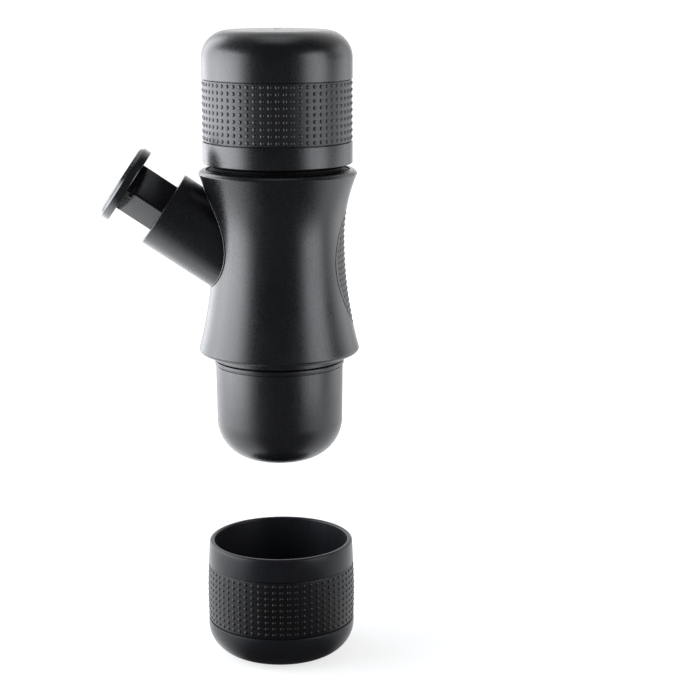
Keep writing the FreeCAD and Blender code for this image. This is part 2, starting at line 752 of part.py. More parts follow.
def make_duckbill(label, flange_foot, offset):
    """Silicone duckbill valve: a flange with a tapered, slit bill under it."""
    body = new_body(label)
    tip = flange_foot - S["bill_length"]
    lip = S["bill_tip"]
    revolve(body, "Bill", [
        (0, tip),
        (lip, tip),
        (S["bill_radius"], flange_foot - S["valve_flange"]),
        (S["bill_radius"], flange_foot),
        (S["valve_radius"], flange_foot),
        (S["valve_radius"], flange_foot + S["valve_flange"]),
        (0, flange_foot + S["valve_flange"]),
    ])
    sketch = new_sketch(body, "SlitOutline", height=tip)
    half, reach = S["slit_width"] / 2, lip * 2
    draw_outline(sketch, [(-half, -reach), (half, -reach), (half, reach), (-half, reach)])
    cut(body, "Slit", sketch, S["bill_length"] + S["valve_flange"])
    body.Placement.Base.x = offset.value
    body.setExpression("Placement.Base.x", offset.text)
    return body


def inlet_valve_foot():
    """Foot of the inlet valve's flange, on its pocket's floor under the tube."""
    return BLOCK_TOP - S["tube_socket"] - S["valve_flange"] - S["snug"]


def make_inlet_valve():
    return make_duckbill("inlet_valve", inlet_valve_foot(), S["intake_offset"])


def make_outlet_valve():
    return make_duckbill("outlet_valve", WEB_FOOT + S["snug"], as_size(0))


def drill_along_pump(body, name, radius, foot, top, across=0, up=0):
    """A hole parallel to the pump's axis, between two stations."""
    sketch = new_sketch(body, name + "Circle")
    tilt_sketch(sketch, foot)
    draw_circle(sketch, radius, across, up)
    return cut(body, name, sketch, top - foot)


def make_valve_block():
    """Column that carries the pump on a slanted face, with the ducts and valve pockets in it."""
    body = new_body("valve_block")
    flange_top = WEB_FOOT + S["block_flange_height"]
    revolve(body, "Column", [
        (0, WEB_FOOT),
        (BLOCK_FLANGE, WEB_FOOT),
        (BLOCK_FLANGE, flange_top),
        (S["block_radius"], flange_top),
        (S["block_radius"], BLOCK_TOP),
        (0, BLOCK_TOP),
    ])
    slant = new_sketch(body, "SlantCircle")
    tilt_sketch(slant, S["block_face"])
    draw_circle(slant, S["block_height"])
    cut(body, "Slant", slant, S["block_height"])

    face = S["block_face"] + 1
    tilt_cos, tilt_sin = cosine(S["arm_tilt"]), sine(S["arm_tilt"])
    lean = S["duct_offset"] * tilt_sin
    inlet_reach = (S["intake_offset"] - lean) / tilt_cos
    outlet_reach = lean / tilt_cos
    drill_along_pump(body, "InletDuct", S["duct_radius"],
                     -inlet_reach - S["duct_radius"], face, S["duct_offset"])
    drill_along_pump(body, "OutletDuct", S["duct_radius"],
                     -outlet_reach - S["duct_radius"], face, -S["duct_offset"])
    for name, side in (("PilotLeft", 1), ("PilotRight", -1)):
        drill_along_pump(body, name, S["big_screw_radius"],
                         S["block_face"] - S["pump_screw_grip"], face,
                         0, S["pump_screw_offset"] * side)

    well = S["bill_radius"] + S["running_gap"]
    pocket = S["valve_radius"] + S["snug"] * 2
    inlet_foot = inlet_valve_foot()
    duct_height = ARM_HEIGHT + S["duct_offset"] * tilt_cos - inlet_reach * tilt_sin
    drill(body, "InletWell", well, duct_height, BLOCK_TOP - duct_height, S["intake_offset"])
    drill(body, "InletPocket", pocket, inlet_foot, BLOCK_TOP - inlet_foot, S["intake_offset"])
    outlet_height = ARM_HEIGHT - S["duct_offset"] * tilt_cos - outlet_reach * tilt_sin
    drill(body, "OutletWell", S["duct_radius"], WEB_FOOT, outlet_height - WEB_FOOT)
    drill(body, "OutletPocket", pocket, WEB_FOOT, valve_pocket_depth())
    hole = drill(body, "FootPilot", S["big_screw_radius"], WEB_FOOT,
                 S["block_screw_grip"] + S["snug"] * 2, S["block_screw_circle"])
    polar(body, "FootPilots", [hole], S["block_screw_count"])
    return body


# ---------------------------------------------------------------- pump

def make_pump_gasket():
    """Gasket between the valve block and the pump cylinder."""
    body = new_body("pump_gasket")
    sketch = new_sketch(body, "GasketCircle", height=S["block_face"])
    draw_circle(sketch, LINER_RADIUS)
    pad(body, "Gasket", sketch, S["gasket_height"])
    add_pump_holes(body, S["block_face"], S["gasket_height"])
    return pump_place(body)


def add_pump_holes(body, foot, height):
    """Two duct holes and two screw holes through the pump's seat."""
    for name, side in (("Upper", 1), ("Lower", -1)):
        drill(body, name + "Duct", S["duct_radius"], foot, height, S["duct_offset"] * side)
        drill(body, name + "ScrewHole", S["big_screw_radius"] + S["snug"], foot, height,
              0, S["pump_screw_offset"] * side)


def make_pump_cylinder():
    """Cylinder with a closed end on the valve block and a flange under the mouth bush."""
    body = new_body("pump_cylinder")
    flange = ARM_BORE - S["snug"]
    flange_top = BUSH_FOOT - S["snug"]
    revolve(body, "CylinderWall", [
        (0, LINER_SEAT),
        (LINER_RADIUS, LINER_SEAT),
        (LINER_RADIUS, flange_top - S["liner_flange"]),
        (flange, flange_top - S["liner_flange"]),
        (flange, flange_top),
        (S["bore_radius"], flange_top),
        (S["bore_radius"], LINER_INSIDE),
        (0, LINER_INSIDE),
    ])
    add_pump_holes(body, LINER_SEAT, S["liner_end"])
    for name, side in (("UpperSink", 1), ("LowerSink", -1)):
        drill(body, name, S["big_screw_head"] + S["snug"], LINER_INSIDE - S["big_head_height"],
              S["big_head_height"], 0, S["pump_screw_offset"] * side)
    return pump_place(body)


def make_mouth_bush():
    """Round guide for the stem, with a lock groove behind its lip and two slots through the lip."""
    body = new_body("mouth_bush")
    outer = ARM_BORE - S["snug"]
    lug_reach = S["stem_corner_radius"] + S["lug_reach"] + S["running_gap"]
    lip_foot = MOUTH - S["bush_lip"]
    groove_foot = lip_foot - S["bush_groove"]
    revolve(body, "Bush", [
        (BUSH_BORE, BUSH_FOOT),
        (outer, BUSH_FOOT),
        (outer, MOUTH),
        (BUSH_BORE, MOUTH),
        (BUSH_BORE, lip_foot),
        (lug_reach, lip_foot),
        (lug_reach, groove_foot),
        (BUSH_BORE, groove_foot),
    ])
    half = S["lug_width"] / 2 + S["running_gap"]
    sketch = new_sketch(body, "SlotOutline", height=lip_foot)
    draw_outline(sketch, [(-half, -lug_reach), (half, -lug_reach), (half, lug_reach),
                          (-half, lug_reach)])
    cut(body, "Slots", sketch, S["bush_lip"])
    return pump_place(body)


def make_piston_head():
    """Piston with a spring pocket, a ring groove and a bore for the stem's pivot."""
    body = new_body("piston_head")
    radius = S["bore_radius"] - S["piston_play"]
    pocket = S["spring_radius"] + S["wire_radius"] + S["running_gap"]
    pivot_bore = S["pivot_radius"] + S["pivot_play"]
    ring_middle, groove_half = ring_station()
    groove_floor = ring_radius() - S["ring_thickness"] / 2 - S["ring_squeeze_play"]
    revolve(body, "Piston", [
        (pocket, PISTON_FOOT),
        (radius, PISTON_FOOT),
        (radius, ring_middle - groove_half),
        (groove_floor, ring_middle - groove_half),
        (groove_floor, ring_middle + groove_half),
        (radius, ring_middle + groove_half),
        (radius, PISTON_TOP),
        (pivot_bore, PISTON_TOP),
        (pivot_bore, SPRING_SEAT),
        (pocket, SPRING_SEAT),
    ])
    return pump_place(body)


def ring_station():
    """Middle of the piston ring along the pump, and half its groove's width."""
    middle = (SPRING_SEAT + PISTON_TOP) / 2
    return middle, S["ring_thickness"] / 2 + S["running_gap"]


def ring_radius():
    return S["bore_radius"] - S["ring_squeeze_play"] - S["ring_thickness"] / 2


def make_piston_o_ring():
    """Rubber ring that seals the piston in its bore."""
    ring = DOC.addObject("Part::Torus", "piston_o_ring")
    ring.Label = "piston_o_ring"
    ring.setExpression("Radius1", ring_radius().text)
    ring.setExpression("Radius2", (S["ring_thickness"] / 2).text)
    station = ring_station()[0]
    turn = S["arm_tilt"] - 90
    shift = station * cosine(S["arm_tilt"])
    lift = ARM_HEIGHT + station * sine(S["arm_tilt"])
    ring.Placement = FreeCAD.Placement(
        VECTOR(-shift.value, 0, lift.value), FreeCAD.Rotation(ACROSS_PUMP, turn.value))
    ring.setExpression("Placement.Base.x", (-shift).text)
    ring.setExpression("Placement.Base.z", lift.text)
    ring.setExpression("Placement.Rotation.Angle", turn.text)
    DOC.recompute()
    return ring


def make_return_spring():
    """Coil spring between the cylinder's end and the piston's pocket."""
    body = new_body("return_spring")
    foot = LINER_INSIDE + S["wire_radius"] + S["snug"]
    length = SPRING_SEAT - LINER_INSIDE - S["wire_radius"] * 2 - S["snug"] * 2
    sketch = new_sketch(body, "WireCircle", "XZ_Plane")
    draw_circle(sketch, S["wire_radius"], S["spring_radius"], foot)
    coil = body.newObject("PartDesign::AdditiveHelix", "Coil")
    coil.Profile = sketch
    coil.ReferenceAxis = (sketch, ["V_Axis"])
    coil.Mode = "pitch-height-angle"
    coil.setExpression("Pitch", (length / S["spring_turns"]).text)
    coil.setExpression("Height", length.text)
    settle(body, coil)
    return pump_place(body)


def make_piston_stem():
    """Square stem with rounded corners, a pivot for the piston, and lock lugs near the knob."""
    body = new_body("piston_stem")
    square_foot = PISTON_TOP + S["snug"]
    round_bar = new_sketch(body, "CornerCircle", height=square_foot)
    draw_circle(round_bar, S["stem_corner_radius"])
    pad(body, "RoundBar", round_bar, KNOB_FOOT - square_foot)

    flat, far = S["stem_flats"] / 2, S["knob_radius"]
    sketch = new_sketch(body, "FlatOutline", height=square_foot)
    side = Size(math.sqrt(0.5), "sqrt(0.5)")
    near, away = flat / side, far / side
    draw_outline(sketch, [(near, 0), (away, 0), (0, away), (0, near)])
    flats = cut(body, "Flat", sketch, KNOB_FOOT - square_foot)
    polar(body, "Flats", [flats], 4)

    clip_top = SPRING_SEAT - S["snug"]
    clip_seat = S["pivot_radius"] - S["clip_groove"]
    pivot_foot = clip_top - S["clip_height"] * 2
    revolve(body, "Pivot", [
        (0, pivot_foot),
        (S["pivot_radius"], pivot_foot),
        (S["pivot_radius"], clip_top - S["clip_height"] - S["snug"]),
        (clip_seat, clip_top - S["clip_height"] - S["snug"]),
        (clip_seat, clip_top + S["snug"] / 2),
        (S["pivot_radius"], clip_top + S["snug"] / 2),
        (S["pivot_radius"], square_foot),
        (0, square_foot),
    ])

    half, reach = S["lug_width"] / 2, S["stem_corner_radius"] + S["lug_reach"]
    lug_foot = KNOB_FOOT - S["lug_gap"] - S["lug_height"]
    lug = new_sketch(body, "LugOutline", height=lug_foot)
    draw_outline(lug, [(-half, -reach), (half, -reach), (half, reach), (-half, reach)])
    pad(body, "Lugs", lug, S["lug_height"])

    drill(body, "ScrewHole", S["knob_screw_radius"], KNOB_FOOT - S["knob_screw_length"],
          S["knob_screw_length"])
    return pump_place(body)


def make_stem_clip():
    """Clip that holds the stem's pivot in the piston head."""
    body = new_body("stem_clip")
    top = SPRING_SEAT - S["snug"]
    inner = S["pivot_radius"] - S["clip_groove"] + S["snug"] / 2
    revolve(body, "Clip", [
        (inner, top - S["clip_height"]),
        (S["clip_radius"], top - S["clip_height"]),
        (S["clip_radius"], top),
        (inner, top),
    ])
    sketch = new_sketch(body, "ClipGap", height=top - S["clip_height"])
    half, past = S["clip_opening"] / 2, S["clip_radius"] * 2
    draw_outline(sketch, [(0, -half), (past, -half), (past, half), (0, half)])
    cut(body, "ClipOpening", sketch, S["clip_height"])
    return pump_place(body)


def make_push_knob():
    """Round knob that the palm pushes, with a sunk seat for its screw."""
    body = new_body("push_knob")
    radius, edge = S["knob_radius"], S["edge_round"]
    seat = KNOB_FOOT + S["knob_seat"]
    revolve(body, "Knob", [
        (S["knob_screw_radius"] + S["snug"], KNOB_FOOT),
        (radius - edge, KNOB_FOOT, edge),
        (radius, KNOB_FOOT + edge),
        (radius, KNOB_TOP - edge, edge),
        (radius - edge, KNOB_TOP),
        (S["knob_screw_head"] + S["snug"], KNOB_TOP),
        (S["knob_screw_head"] + S["snug"], seat),
        (S["knob_screw_radius"] + S["snug"], seat),
    ])
    return pump_place(body)


def make_knob_cap():
    """Thin cap over the knob's screw."""
    body = new_body("knob_cap")
    radius, edge = S["knob_radius"] - S["cap_inset"], S["edge_round"] / 2
    top = KNOB_TOP + S["cap_height"]
    revolve(body, "Cap", [
        (0, KNOB_TOP),
        (radius, KNOB_TOP),
        (radius, top - edge, edge),
        (radius - edge, top),
        (0, top),
    ])
    return pump_place(body)


def make_knob_screw():
    """Screw that holds the knob on its stem."""
    body = new_body("knob_screw")
    seat = KNOB_FOOT + S["knob_seat"]
    top = KNOB_TOP - S["snug"] * 2
    shank = S["knob_screw_radius"] - S["snug"] / 2
    revolve(body, "KnobScrew", [
        (0, KNOB_FOOT - S["knob_screw_length"] + S["snug"]),
        (shank, KNOB_FOOT - S["knob_screw_length"] + S["snug"]),
        (shank, seat),
        (S["knob_screw_head"], seat),
        (S["knob_screw_head"], top),
        (0, top),
    ])
    add_hex_socket(body, top, S["knob_screw_head"])
    return pump_place(body)


def add_hex_socket(body, top, head_radius, middle=0, up=0, downwards=False):
    """Six-sided key socket in a screw head."""
    depth = head_radius / 3
    reach = head_radius / 2
    half = reach / 2
    flank = reach * Size(math.sqrt(0.75), "sqrt(0.75)")
    foot = top if downwards else top - depth
    middle, up = as_size(middle), as_size(up)
    sketch = new_sketch(body, "SocketOutline", height=foot)
    draw_outline(sketch, [
        (middle + reach, up), (middle + half, up + flank), (middle - half, up + flank),
        (middle - reach, up), (middle - half, up - flank), (middle + half, up - flank),
    ])
    return cut(body, "KeySocket", sketch, depth)


def screw_group(label, places, foot, shank_top, head_height, shank, head):
    """Like screws, heads down, each its own solid, gathered in one compound."""
    screws = []
    for number, (across, up) in enumerate(places):
        body = new_body(f"{label}_{number + 1}")
        revolve(body, "Screw", [
            (0, foot),
            (head, foot),
            (head, foot + head_height),
            (shank, foot + head_height),
            (shank, shank_top),
            (0, shank_top),
        ])
        add_hex_socket(body, foot, head, downwards=True)
        body.Placement.Base = VECTOR(across.value, up.value, 0)
        body.setExpression("Placement.Base.x", across.text)
        body.setExpression("Placement.Base.y", up.text)
        screws.append(body)
    group = DOC.addObject("Part::Compound", label)
    group.Label = label
    group.Links = screws
    DOC.recompute()
    return group


def round_places(circle, count):
    """Places evenly round a circle, the first on +X."""
    places = []
    for number in range(int(count.value)):
        angle = Size(360.0 * number / count.value, f"(360 * {number} / {count.text})")
        places.append((circle * cosine(angle), circle * sine(angle)))
    return places


def make_pump_screws():
    """Two screws through the cylinder's end wall into the valve block."""
    screws = []
    foot = S["block_face"] - S["pump_screw_grip"] + S["snug"]
    head_foot = LINER_INSIDE - S["big_head_height"]
    for name, side in (("pump_screw_1", 1), ("pump_screw_2", -1)):
        body = new_body(name)
        revolve(body, "PumpScrew", [
            (0, foot),
            (S["big_screw_radius"] - S["snug"] / 2, foot),
            (S["big_screw_radius"] - S["snug"] / 2, head_foot),
            (S["big_screw_head"], head_foot),
            (S["big_screw_head"], LINER_INSIDE - S["snug"]),
            (0, LINER_INSIDE - S["snug"]),
        ])
        add_hex_socket(body, LINER_INSIDE - S["snug"], S["big_screw_head"])
        pump_place(body)
        body.Placement.Base.y = S["pump_screw_offset"].value * side
        body.setExpression("Placement.Base.y", (S["pump_screw_offset"] * side).text)
        screws.append(body)
    group = DOC.addObject("Part::Compound", "pump_screws")
    group.Label = "pump_screws"
    group.Links = screws
    DOC.recompute()
    return group


# ---------------------------------------------------------------- brew boss

def make_brew_boss():
    """Plate with the visible collar, and the threaded boss that the outlet head screws onto."""
    body = new_body("brew_boss")
    chamber_top = BOSS_FOOT + S["chamber_depth"]
    bill_well = S["bill_radius"] + S["running_gap"]
    revolve(body, "Boss", [
        (bill_well, chamber_top),
        (CHAMBER_RADIUS, chamber_top),
        (CHAMBER_RADIUS, BOSS_FOOT + S["screen_thickness"] + S["snug"] * 2),
        (SCREEN_SEAT, BOSS_FOOT + S["screen_thickness"] + S["snug"] * 2),
        (SCREEN_SEAT, BOSS_FOOT),
        (BOSS_RADIUS, BOSS_FOOT),
        (BOSS_RADIUS, COLLAR_FOOT),
        (COLLAR_RADIUS, COLLAR_FOOT),
        (COLLAR_RADIUS, WEB_FOOT),
        (bill_well, WEB_FOOT),
    ])
    ridge_start = BOSS_FOOT + S["thread_root"]
    add_ridges(body, "BossRidge", BOSS_RADIUS, 1, ridge_start,
               S["boss_length"] - S["thread_root"] * 3)
    sink = S["screw_head_height"] + S["snug"]
    hole = drill(body, "CollarHole", S["screw_radius"] + S["snug"], COLLAR_FOOT,
                 WEB_FOOT - COLLAR_FOOT, SCREW_CIRCLE)
    counter = drill(body, "CollarSink", S["screw_head"] + S["snug"] / 2, COLLAR_FOOT, sink,
                    SCREW_CIRCLE)
    polar(body, "CollarHoles", [hole, counter], S["screw_count"])
    block_hole = drill(body, "BlockHole", S["big_screw_radius"] + S["snug"], chamber_top,
                       WEB_FOOT - chamber_top, S["block_screw_circle"])
    polar(body, "BlockHoles", [block_hole], S["block_screw_count"])
    return body


def make_collar_screws():
    """Screws from below through the collar into the casing's web."""
    foot = COLLAR_FOOT + S["snug"]
    return screw_group("collar_screws", round_places(SCREW_CIRCLE, S["screw_count"]),
                       foot, WEB_TOP - S["snug"] * 2, S["screw_head_height"],
                       S["screw_radius"] - S["snug"] / 2, S["screw_head"])


def make_block_screws():
    """Screws from the brew chamber up into the valve block's flange."""
    foot = BOSS_FOOT + S["chamber_depth"] - S["big_head_height"]
    places = round_places(S["block_screw_circle"], S["block_screw_count"])
    return screw_group("block_screws", places, foot, WEB_FOOT + S["block_screw_grip"],
                       S["big_head_height"], S["big_screw_radius"] - S["snug"] / 2,
                       S["big_screw_head"])


def perforate(body, name, hole_radius, foot, height, spacing, rows):
    """Rings of holes, six more in each ring, and one in the middle."""
    drill(body, name + "Middle", hole_radius, foot, height)
    for row in range(1, rows + 1):
        hole = drill(body, f"{name}{row}", hole_radius, foot, height, spacing * row)
        polar(body, f"{name}Ring{row}", [hole], 6 * row)


def make_shower_screen():
    """Perforated steel disc that spreads the water over the coffee."""
    body = new_body("shower_screen")
    foot = BOSS_FOOT + S["snug"]
    sketch = new_sketch(body, "ScreenCircle", height=foot)
    draw_circle(sketch, SCREEN_RADIUS)
    pad(body, "Screen", sketch, S["screen_thickness"])
    perforate(body, "Hole", S["screen_hole"], foot, S["screen_thickness"],
              S["screen_pitch"], 3)
    return body


# ---------------------------------------------------------------- outlet head

BASKET_SEAT = BOSS_FOOT - S["running_gap"] - S["basket_gasket_height"] - S["basket_wall"]


def make_outlet_head():
    """Domed cup that holds the filter basket and screws onto the brew boss."""
    body = new_body("outlet_head")
    dome, wall = S["dome_round"], S["dome_wall"]
    low_radius = S["head_radius"] - S["head_taper"]
    pole = low_radius - dome
    dome_top = HEAD_FOOT + dome
    rim_foot = HEAD_TOP - S["head_rim_height"]
    nozzle_hole = S["nozzle_radius"] + S["snug"]
    ledge_top = BASKET_SEAT - S["snug"]
    ledge_foot = ledge_top - S["ledge_height"]
    line = S["head_gap"] / 2
    revolve(body, "Head", [
        (nozzle_hole, HEAD_FOOT),
        (pole, HEAD_FOOT, dome),
        (low_radius, dome_top),
        (S["head_radius"], rim_foot - line),
        (S["head_radius"] - line, rim_foot - line),
        (S["head_radius"] - line, rim_foot),
        (HEAD_RIM, rim_foot),
        (HEAD_RIM, HEAD_TOP - line, line),
        (HEAD_RIM - line, HEAD_TOP),
        (HEAD_BORE, HEAD_TOP),
        (HEAD_BORE, ledge_top),
        (LEDGE_REACH, ledge_top),
        (LEDGE_REACH, ledge_foot),
        (low_radius - wall, ledge_foot - S["ledge_height"]),
        (low_radius - wall, dome_top, wall - dome),
        (pole, HEAD_FOOT + wall),
        (nozzle_hole, HEAD_FOOT + wall),
    ])
    half_pitch = S["thread_lead"] / S["thread_starts"] / 2
    add_ridges(body, "HeadRidge", HEAD_BORE, -1, BOSS_FOOT + S["thread_root"] + half_pitch,
               S["thread_root"] * 2)
    return body


def make_outlet_nozzle():
    """Spout insert in the dome's middle."""
    body = new_body("outlet_nozzle")
    inside = HEAD_FOOT + S["dome_wall"]
    top = inside + S["dome_wall"] / 2
    revolve(body, "Nozzle", [
        (S["nozzle_bore"], HEAD_FOOT),
        (S["nozzle_radius"] - S["edge_round"], HEAD_FOOT, S["edge_round"]),
        (S["nozzle_radius"], HEAD_FOOT + S["edge_round"]),
        (S["nozzle_radius"], inside),
        (S["nozzle_flange"], inside),
        (S["nozzle_flange"], top),
        (S["nozzle_bore"], top),
    ])
    return body


def make_filter_basket():
    """Deep-drawn steel basket for the ground coffee, with a perforated floor."""
    body = new_body("filter_basket")
    wall = S["basket_wall"]
    flange_top = BASKET_SEAT + wall
    foot = flange_top - S["basket_depth"]
    inside = S["basket_radius"] - wall
    revolve(body, "Basket", [
        (0, foot),
        (S["basket_radius"] - wall, foot, wall),
        (S["basket_radius"], foot + wall),
        (S["basket_radius"], BASKET_SEAT),
        (BASKET_FLANGE, BASKET_SEAT),
        (BASKET_FLANGE, flange_top),
        (inside, flange_top),
        (inside, foot + wall),
        (0, foot + wall),
    ])
    perforate(body, "Hole", S["basket_hole"], foot, wall, S["basket_pitch"], 4)
    return body


def make_basket_gasket():
    """Ring between the basket's flange and the brew boss."""
    body = new_body("basket_gasket")
    foot = BASKET_SEAT + S["basket_wall"]
    revolve(body, "Ring", [
        (S["basket_radius"], foot),
        (BASKET_FLANGE, foot),
        (BASKET_FLANGE, foot + S["basket_gasket_height"]),
        (S["basket_radius"], foot + S["basket_gasket_height"]),
    ])
    return body


# ---------------------------------------------------------------- cup

def make_cup_shell():
    """Cup with a rounded foot and lip, and a recess round it for the band."""
    body = new_body("cup_shell")
    band_foot = S["cup_band_rise"]
    band_top = band_foot + S["cup_band_height"]
    recess = S["cup_low_radius"] - S["band_depth"]
    lip = S["lip_round"]
    bore = S["cup_bore"]
    foot_inside = S["cup_base_radius"] - (S["cup_radius"] - bore)
    lip_inside = bore + S["edge_round"]
    revolve(body, "Cup", [
        (0, 0),
        (S["cup_base_radius"], 0, S["cup_round"]),
        (S["cup_low_radius"], band_foot),
        (recess, band_foot),
        (recess, band_top),
        (S["cup_radius"], band_top),
        (S["cup_rim_radius"], S["cup_height"] - lip, lip),
        (S["cup_rim_radius"] - lip, S["cup_height"]),
        (lip_inside, S["cup_height"], S["edge_round"]),
        (bore, S["cup_height"] - S["edge_round"]),
        (bore, band_foot, S["cup_round"] * -1),
        (foot_inside, S["cup_floor"]),
        (0, S["cup_floor"]),
    ])
    return body


def make_cup_grip_band():
    """Rubber band let into the cup's wall."""
    body = new_body("cup_grip_band")
    foot = S["cup_band_rise"] + S["snug"]
    top = S["cup_band_rise"] + S["cup_band_height"] - S["snug"]
    inner = S["cup_low_radius"] - S["band_depth"] + S["snug"] / 2
    revolve(body, "CupBand", [
        (inner, foot),
        (S["cup_low_radius"], foot, S["cup_band_bulge"]),
        (S["cup_radius"], top),
        (inner, top),
    ])
    return body


# ---------------------------------------------------------------- assembly

MAKERS = [
    make_water_tank, make_tank_grip_band, make_air_vent_valve, make_tank_seal,
    make_main_shell, make_side_grip_pad, make_tank_socket, make_intake_tube,
    make_inlet_valve, make_valve_block, make_outlet_valve, make_pump_gasket,
    make_pump_cylinder, make_pump_screws, make_mouth_bush, make_piston_head,
    make_piston_o_ring, make_return_spring, make_piston_stem, make_stem_clip,
    make_push_knob, make_knob_cap, make_knob_screw, make_brew_boss,
    make_collar_screws, make_block_screws, make_shower_screen, make_filter_basket,
    make_basket_gasket, make_outlet_head, make_outlet_nozzle, make_cup_shell,
    make_cup_grip_band,
]


def check_document():
    """Stops if any object of the document failed."""
    for item in DOC.Objects:
        if {"Invalid", "Error"} & set(item.State):
            raise RuntimeError(f"{item.Name} failed: {item.State}")


def write_parts(parts):
    """Writes each piece's shape to its own file, named after the piece."""
    os.makedirs("parts", exist_ok=True)
    for part in parts:
        if part.Shape.isNull() or not part.Shape.isValid() or not part.Shape.Solids:
            raise RuntimeError(f"{part.Label} has no sound shape")
    for part in parts:
        part.Shape.exportStep(f"parts/{part.Label}.step")
        print(f"{part.Label}: {len(part.Shape.Solids)} solid(s), {part.Shape.Volume:.1f} mm3")


PARTS = [make() for make in MAKERS]
DOC.recompute()
check_document()
write_parts(PARTS)
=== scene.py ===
"""Handheld manual espresso maker with its cup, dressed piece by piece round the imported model.

Laid out as an add-on and run as a script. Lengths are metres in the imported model's frame: +Z is
up, the machine's axis is the Z axis and the pump's arm points towards -X. Pieces of the pump are
drawn about the Z axis and then carried onto the pump's axis.
"""

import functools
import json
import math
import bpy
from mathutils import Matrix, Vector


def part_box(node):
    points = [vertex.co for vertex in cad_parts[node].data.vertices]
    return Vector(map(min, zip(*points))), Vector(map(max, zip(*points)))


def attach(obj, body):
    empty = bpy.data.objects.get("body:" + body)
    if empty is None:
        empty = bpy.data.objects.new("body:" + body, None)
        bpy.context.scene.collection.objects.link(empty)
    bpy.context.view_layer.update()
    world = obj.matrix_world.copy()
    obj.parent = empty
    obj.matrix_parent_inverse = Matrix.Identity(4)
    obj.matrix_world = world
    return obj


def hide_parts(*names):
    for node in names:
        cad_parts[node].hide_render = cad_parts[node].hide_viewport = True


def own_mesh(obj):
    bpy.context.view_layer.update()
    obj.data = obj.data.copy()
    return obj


bl_info = {
    "name": "Hand Espresso Maker",
    "version": (1, 0, 0),
    "blender": (4, 5, 0),
    "location": "3D View > Sidebar > Espresso",
    "description": "Builds the finished surfaces of a handheld espresso maker and its cup",
    "category": "Add Mesh",
}

import bmesh
import bpy
from bpy.props import FloatProperty, FloatVectorProperty, IntProperty, PointerProperty
from mathutils import Matrix, Vector

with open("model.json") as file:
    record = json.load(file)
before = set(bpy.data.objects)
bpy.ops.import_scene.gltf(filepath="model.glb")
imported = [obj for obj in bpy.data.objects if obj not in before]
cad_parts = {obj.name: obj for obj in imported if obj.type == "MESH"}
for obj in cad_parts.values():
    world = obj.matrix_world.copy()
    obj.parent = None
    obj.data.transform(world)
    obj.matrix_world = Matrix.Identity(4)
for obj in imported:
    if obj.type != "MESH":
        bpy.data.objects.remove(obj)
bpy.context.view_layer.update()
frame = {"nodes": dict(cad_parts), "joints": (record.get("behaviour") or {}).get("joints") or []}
NODES = frame["nodes"]
JOINTS = {joint["name"]: joint for joint in frame["joints"]}
MM = 0.001
SAME_PLACE = 0.0001 * MM


# ---------------------------------------------------------------- what the frame gives

@functools.cache
def node_box(name):
    """Lowest and highest corner of a node."""
    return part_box(name)


def node_radius(name):
    """Largest distance of a node's box from the machine's axis."""
    low, high = node_box(name)
    return max(high.y, -low.y)


def node_levels(name):
    """Foot and top of a node."""
    low, high = node_box(name)
    return low.z, high.z


def pump_matrix():
    """From a local Z axis to the pump's axis, local X upwards."""
    axis = -Vector(JOINTS["piston_push"]["axis"]).normalized()
    start = Vector(JOINTS["knob_twist"]["pos_m"])
    side = Vector((0, 1, 0))
    turn = Matrix((side.cross(axis), side, axis)).transposed().to_4x4()
    return Matrix.Translation(start) @ turn


PUMP = pump_matrix()


@functools.cache
def pump_places(name):
    """A node's vertices as they lie about the pump's axis."""
    back = PUMP.inverted()
    return [back @ vertex.co for vertex in NODES[name].data.vertices]


def pump_stations(name):
    """Lowest and highest station of a node along the pump."""
    along = [place.z for place in pump_places(name)]
    return min(along), max(along)


def pump_reach(name):
    """Largest distance of a node from the pump's axis."""
    return max(math.hypot(place.x, place.y) for place in pump_places(name))


TANK_FOOT = node_box("tank_seal")[1].z
NECK_FOOT, TANK_TOP = node_levels("water_tank")
CASING_FOOT, CASING_TOP = node_levels("main_shell")
HEAD_FOOT, HEAD_TOP = node_levels("outlet_head")
CUP_TOP = node_box("cup_shell")[1].z
MOUTH = pump_stations("mouth_bush")[1]


# ---------------------------------------------------------------- settings a user would change

def length(name, description, default):
    return FloatProperty(name=name, description=description, default=default, unit="LENGTH",
                         precision=5)


def angle(name, description, degrees):
    return FloatProperty(name=name, description=description, default=math.radians(degrees),
                         subtype="ANGLE")


def power(name, description, default):
    return FloatProperty(name=name, description=description, default=default, unit="POWER")


def colour(name, description, default):
    return FloatVectorProperty(name=name, description=description, default=default,
                               subtype="COLOR", size=3, min=0, max=1)


def share(name, description, default):
    return FloatProperty(name=name, description=description, default=default, min=0, max=1,
                         subtype="FACTOR")


def number(name, description, default, least):
    return IntProperty(name=name, description=description, default=default, min=least)


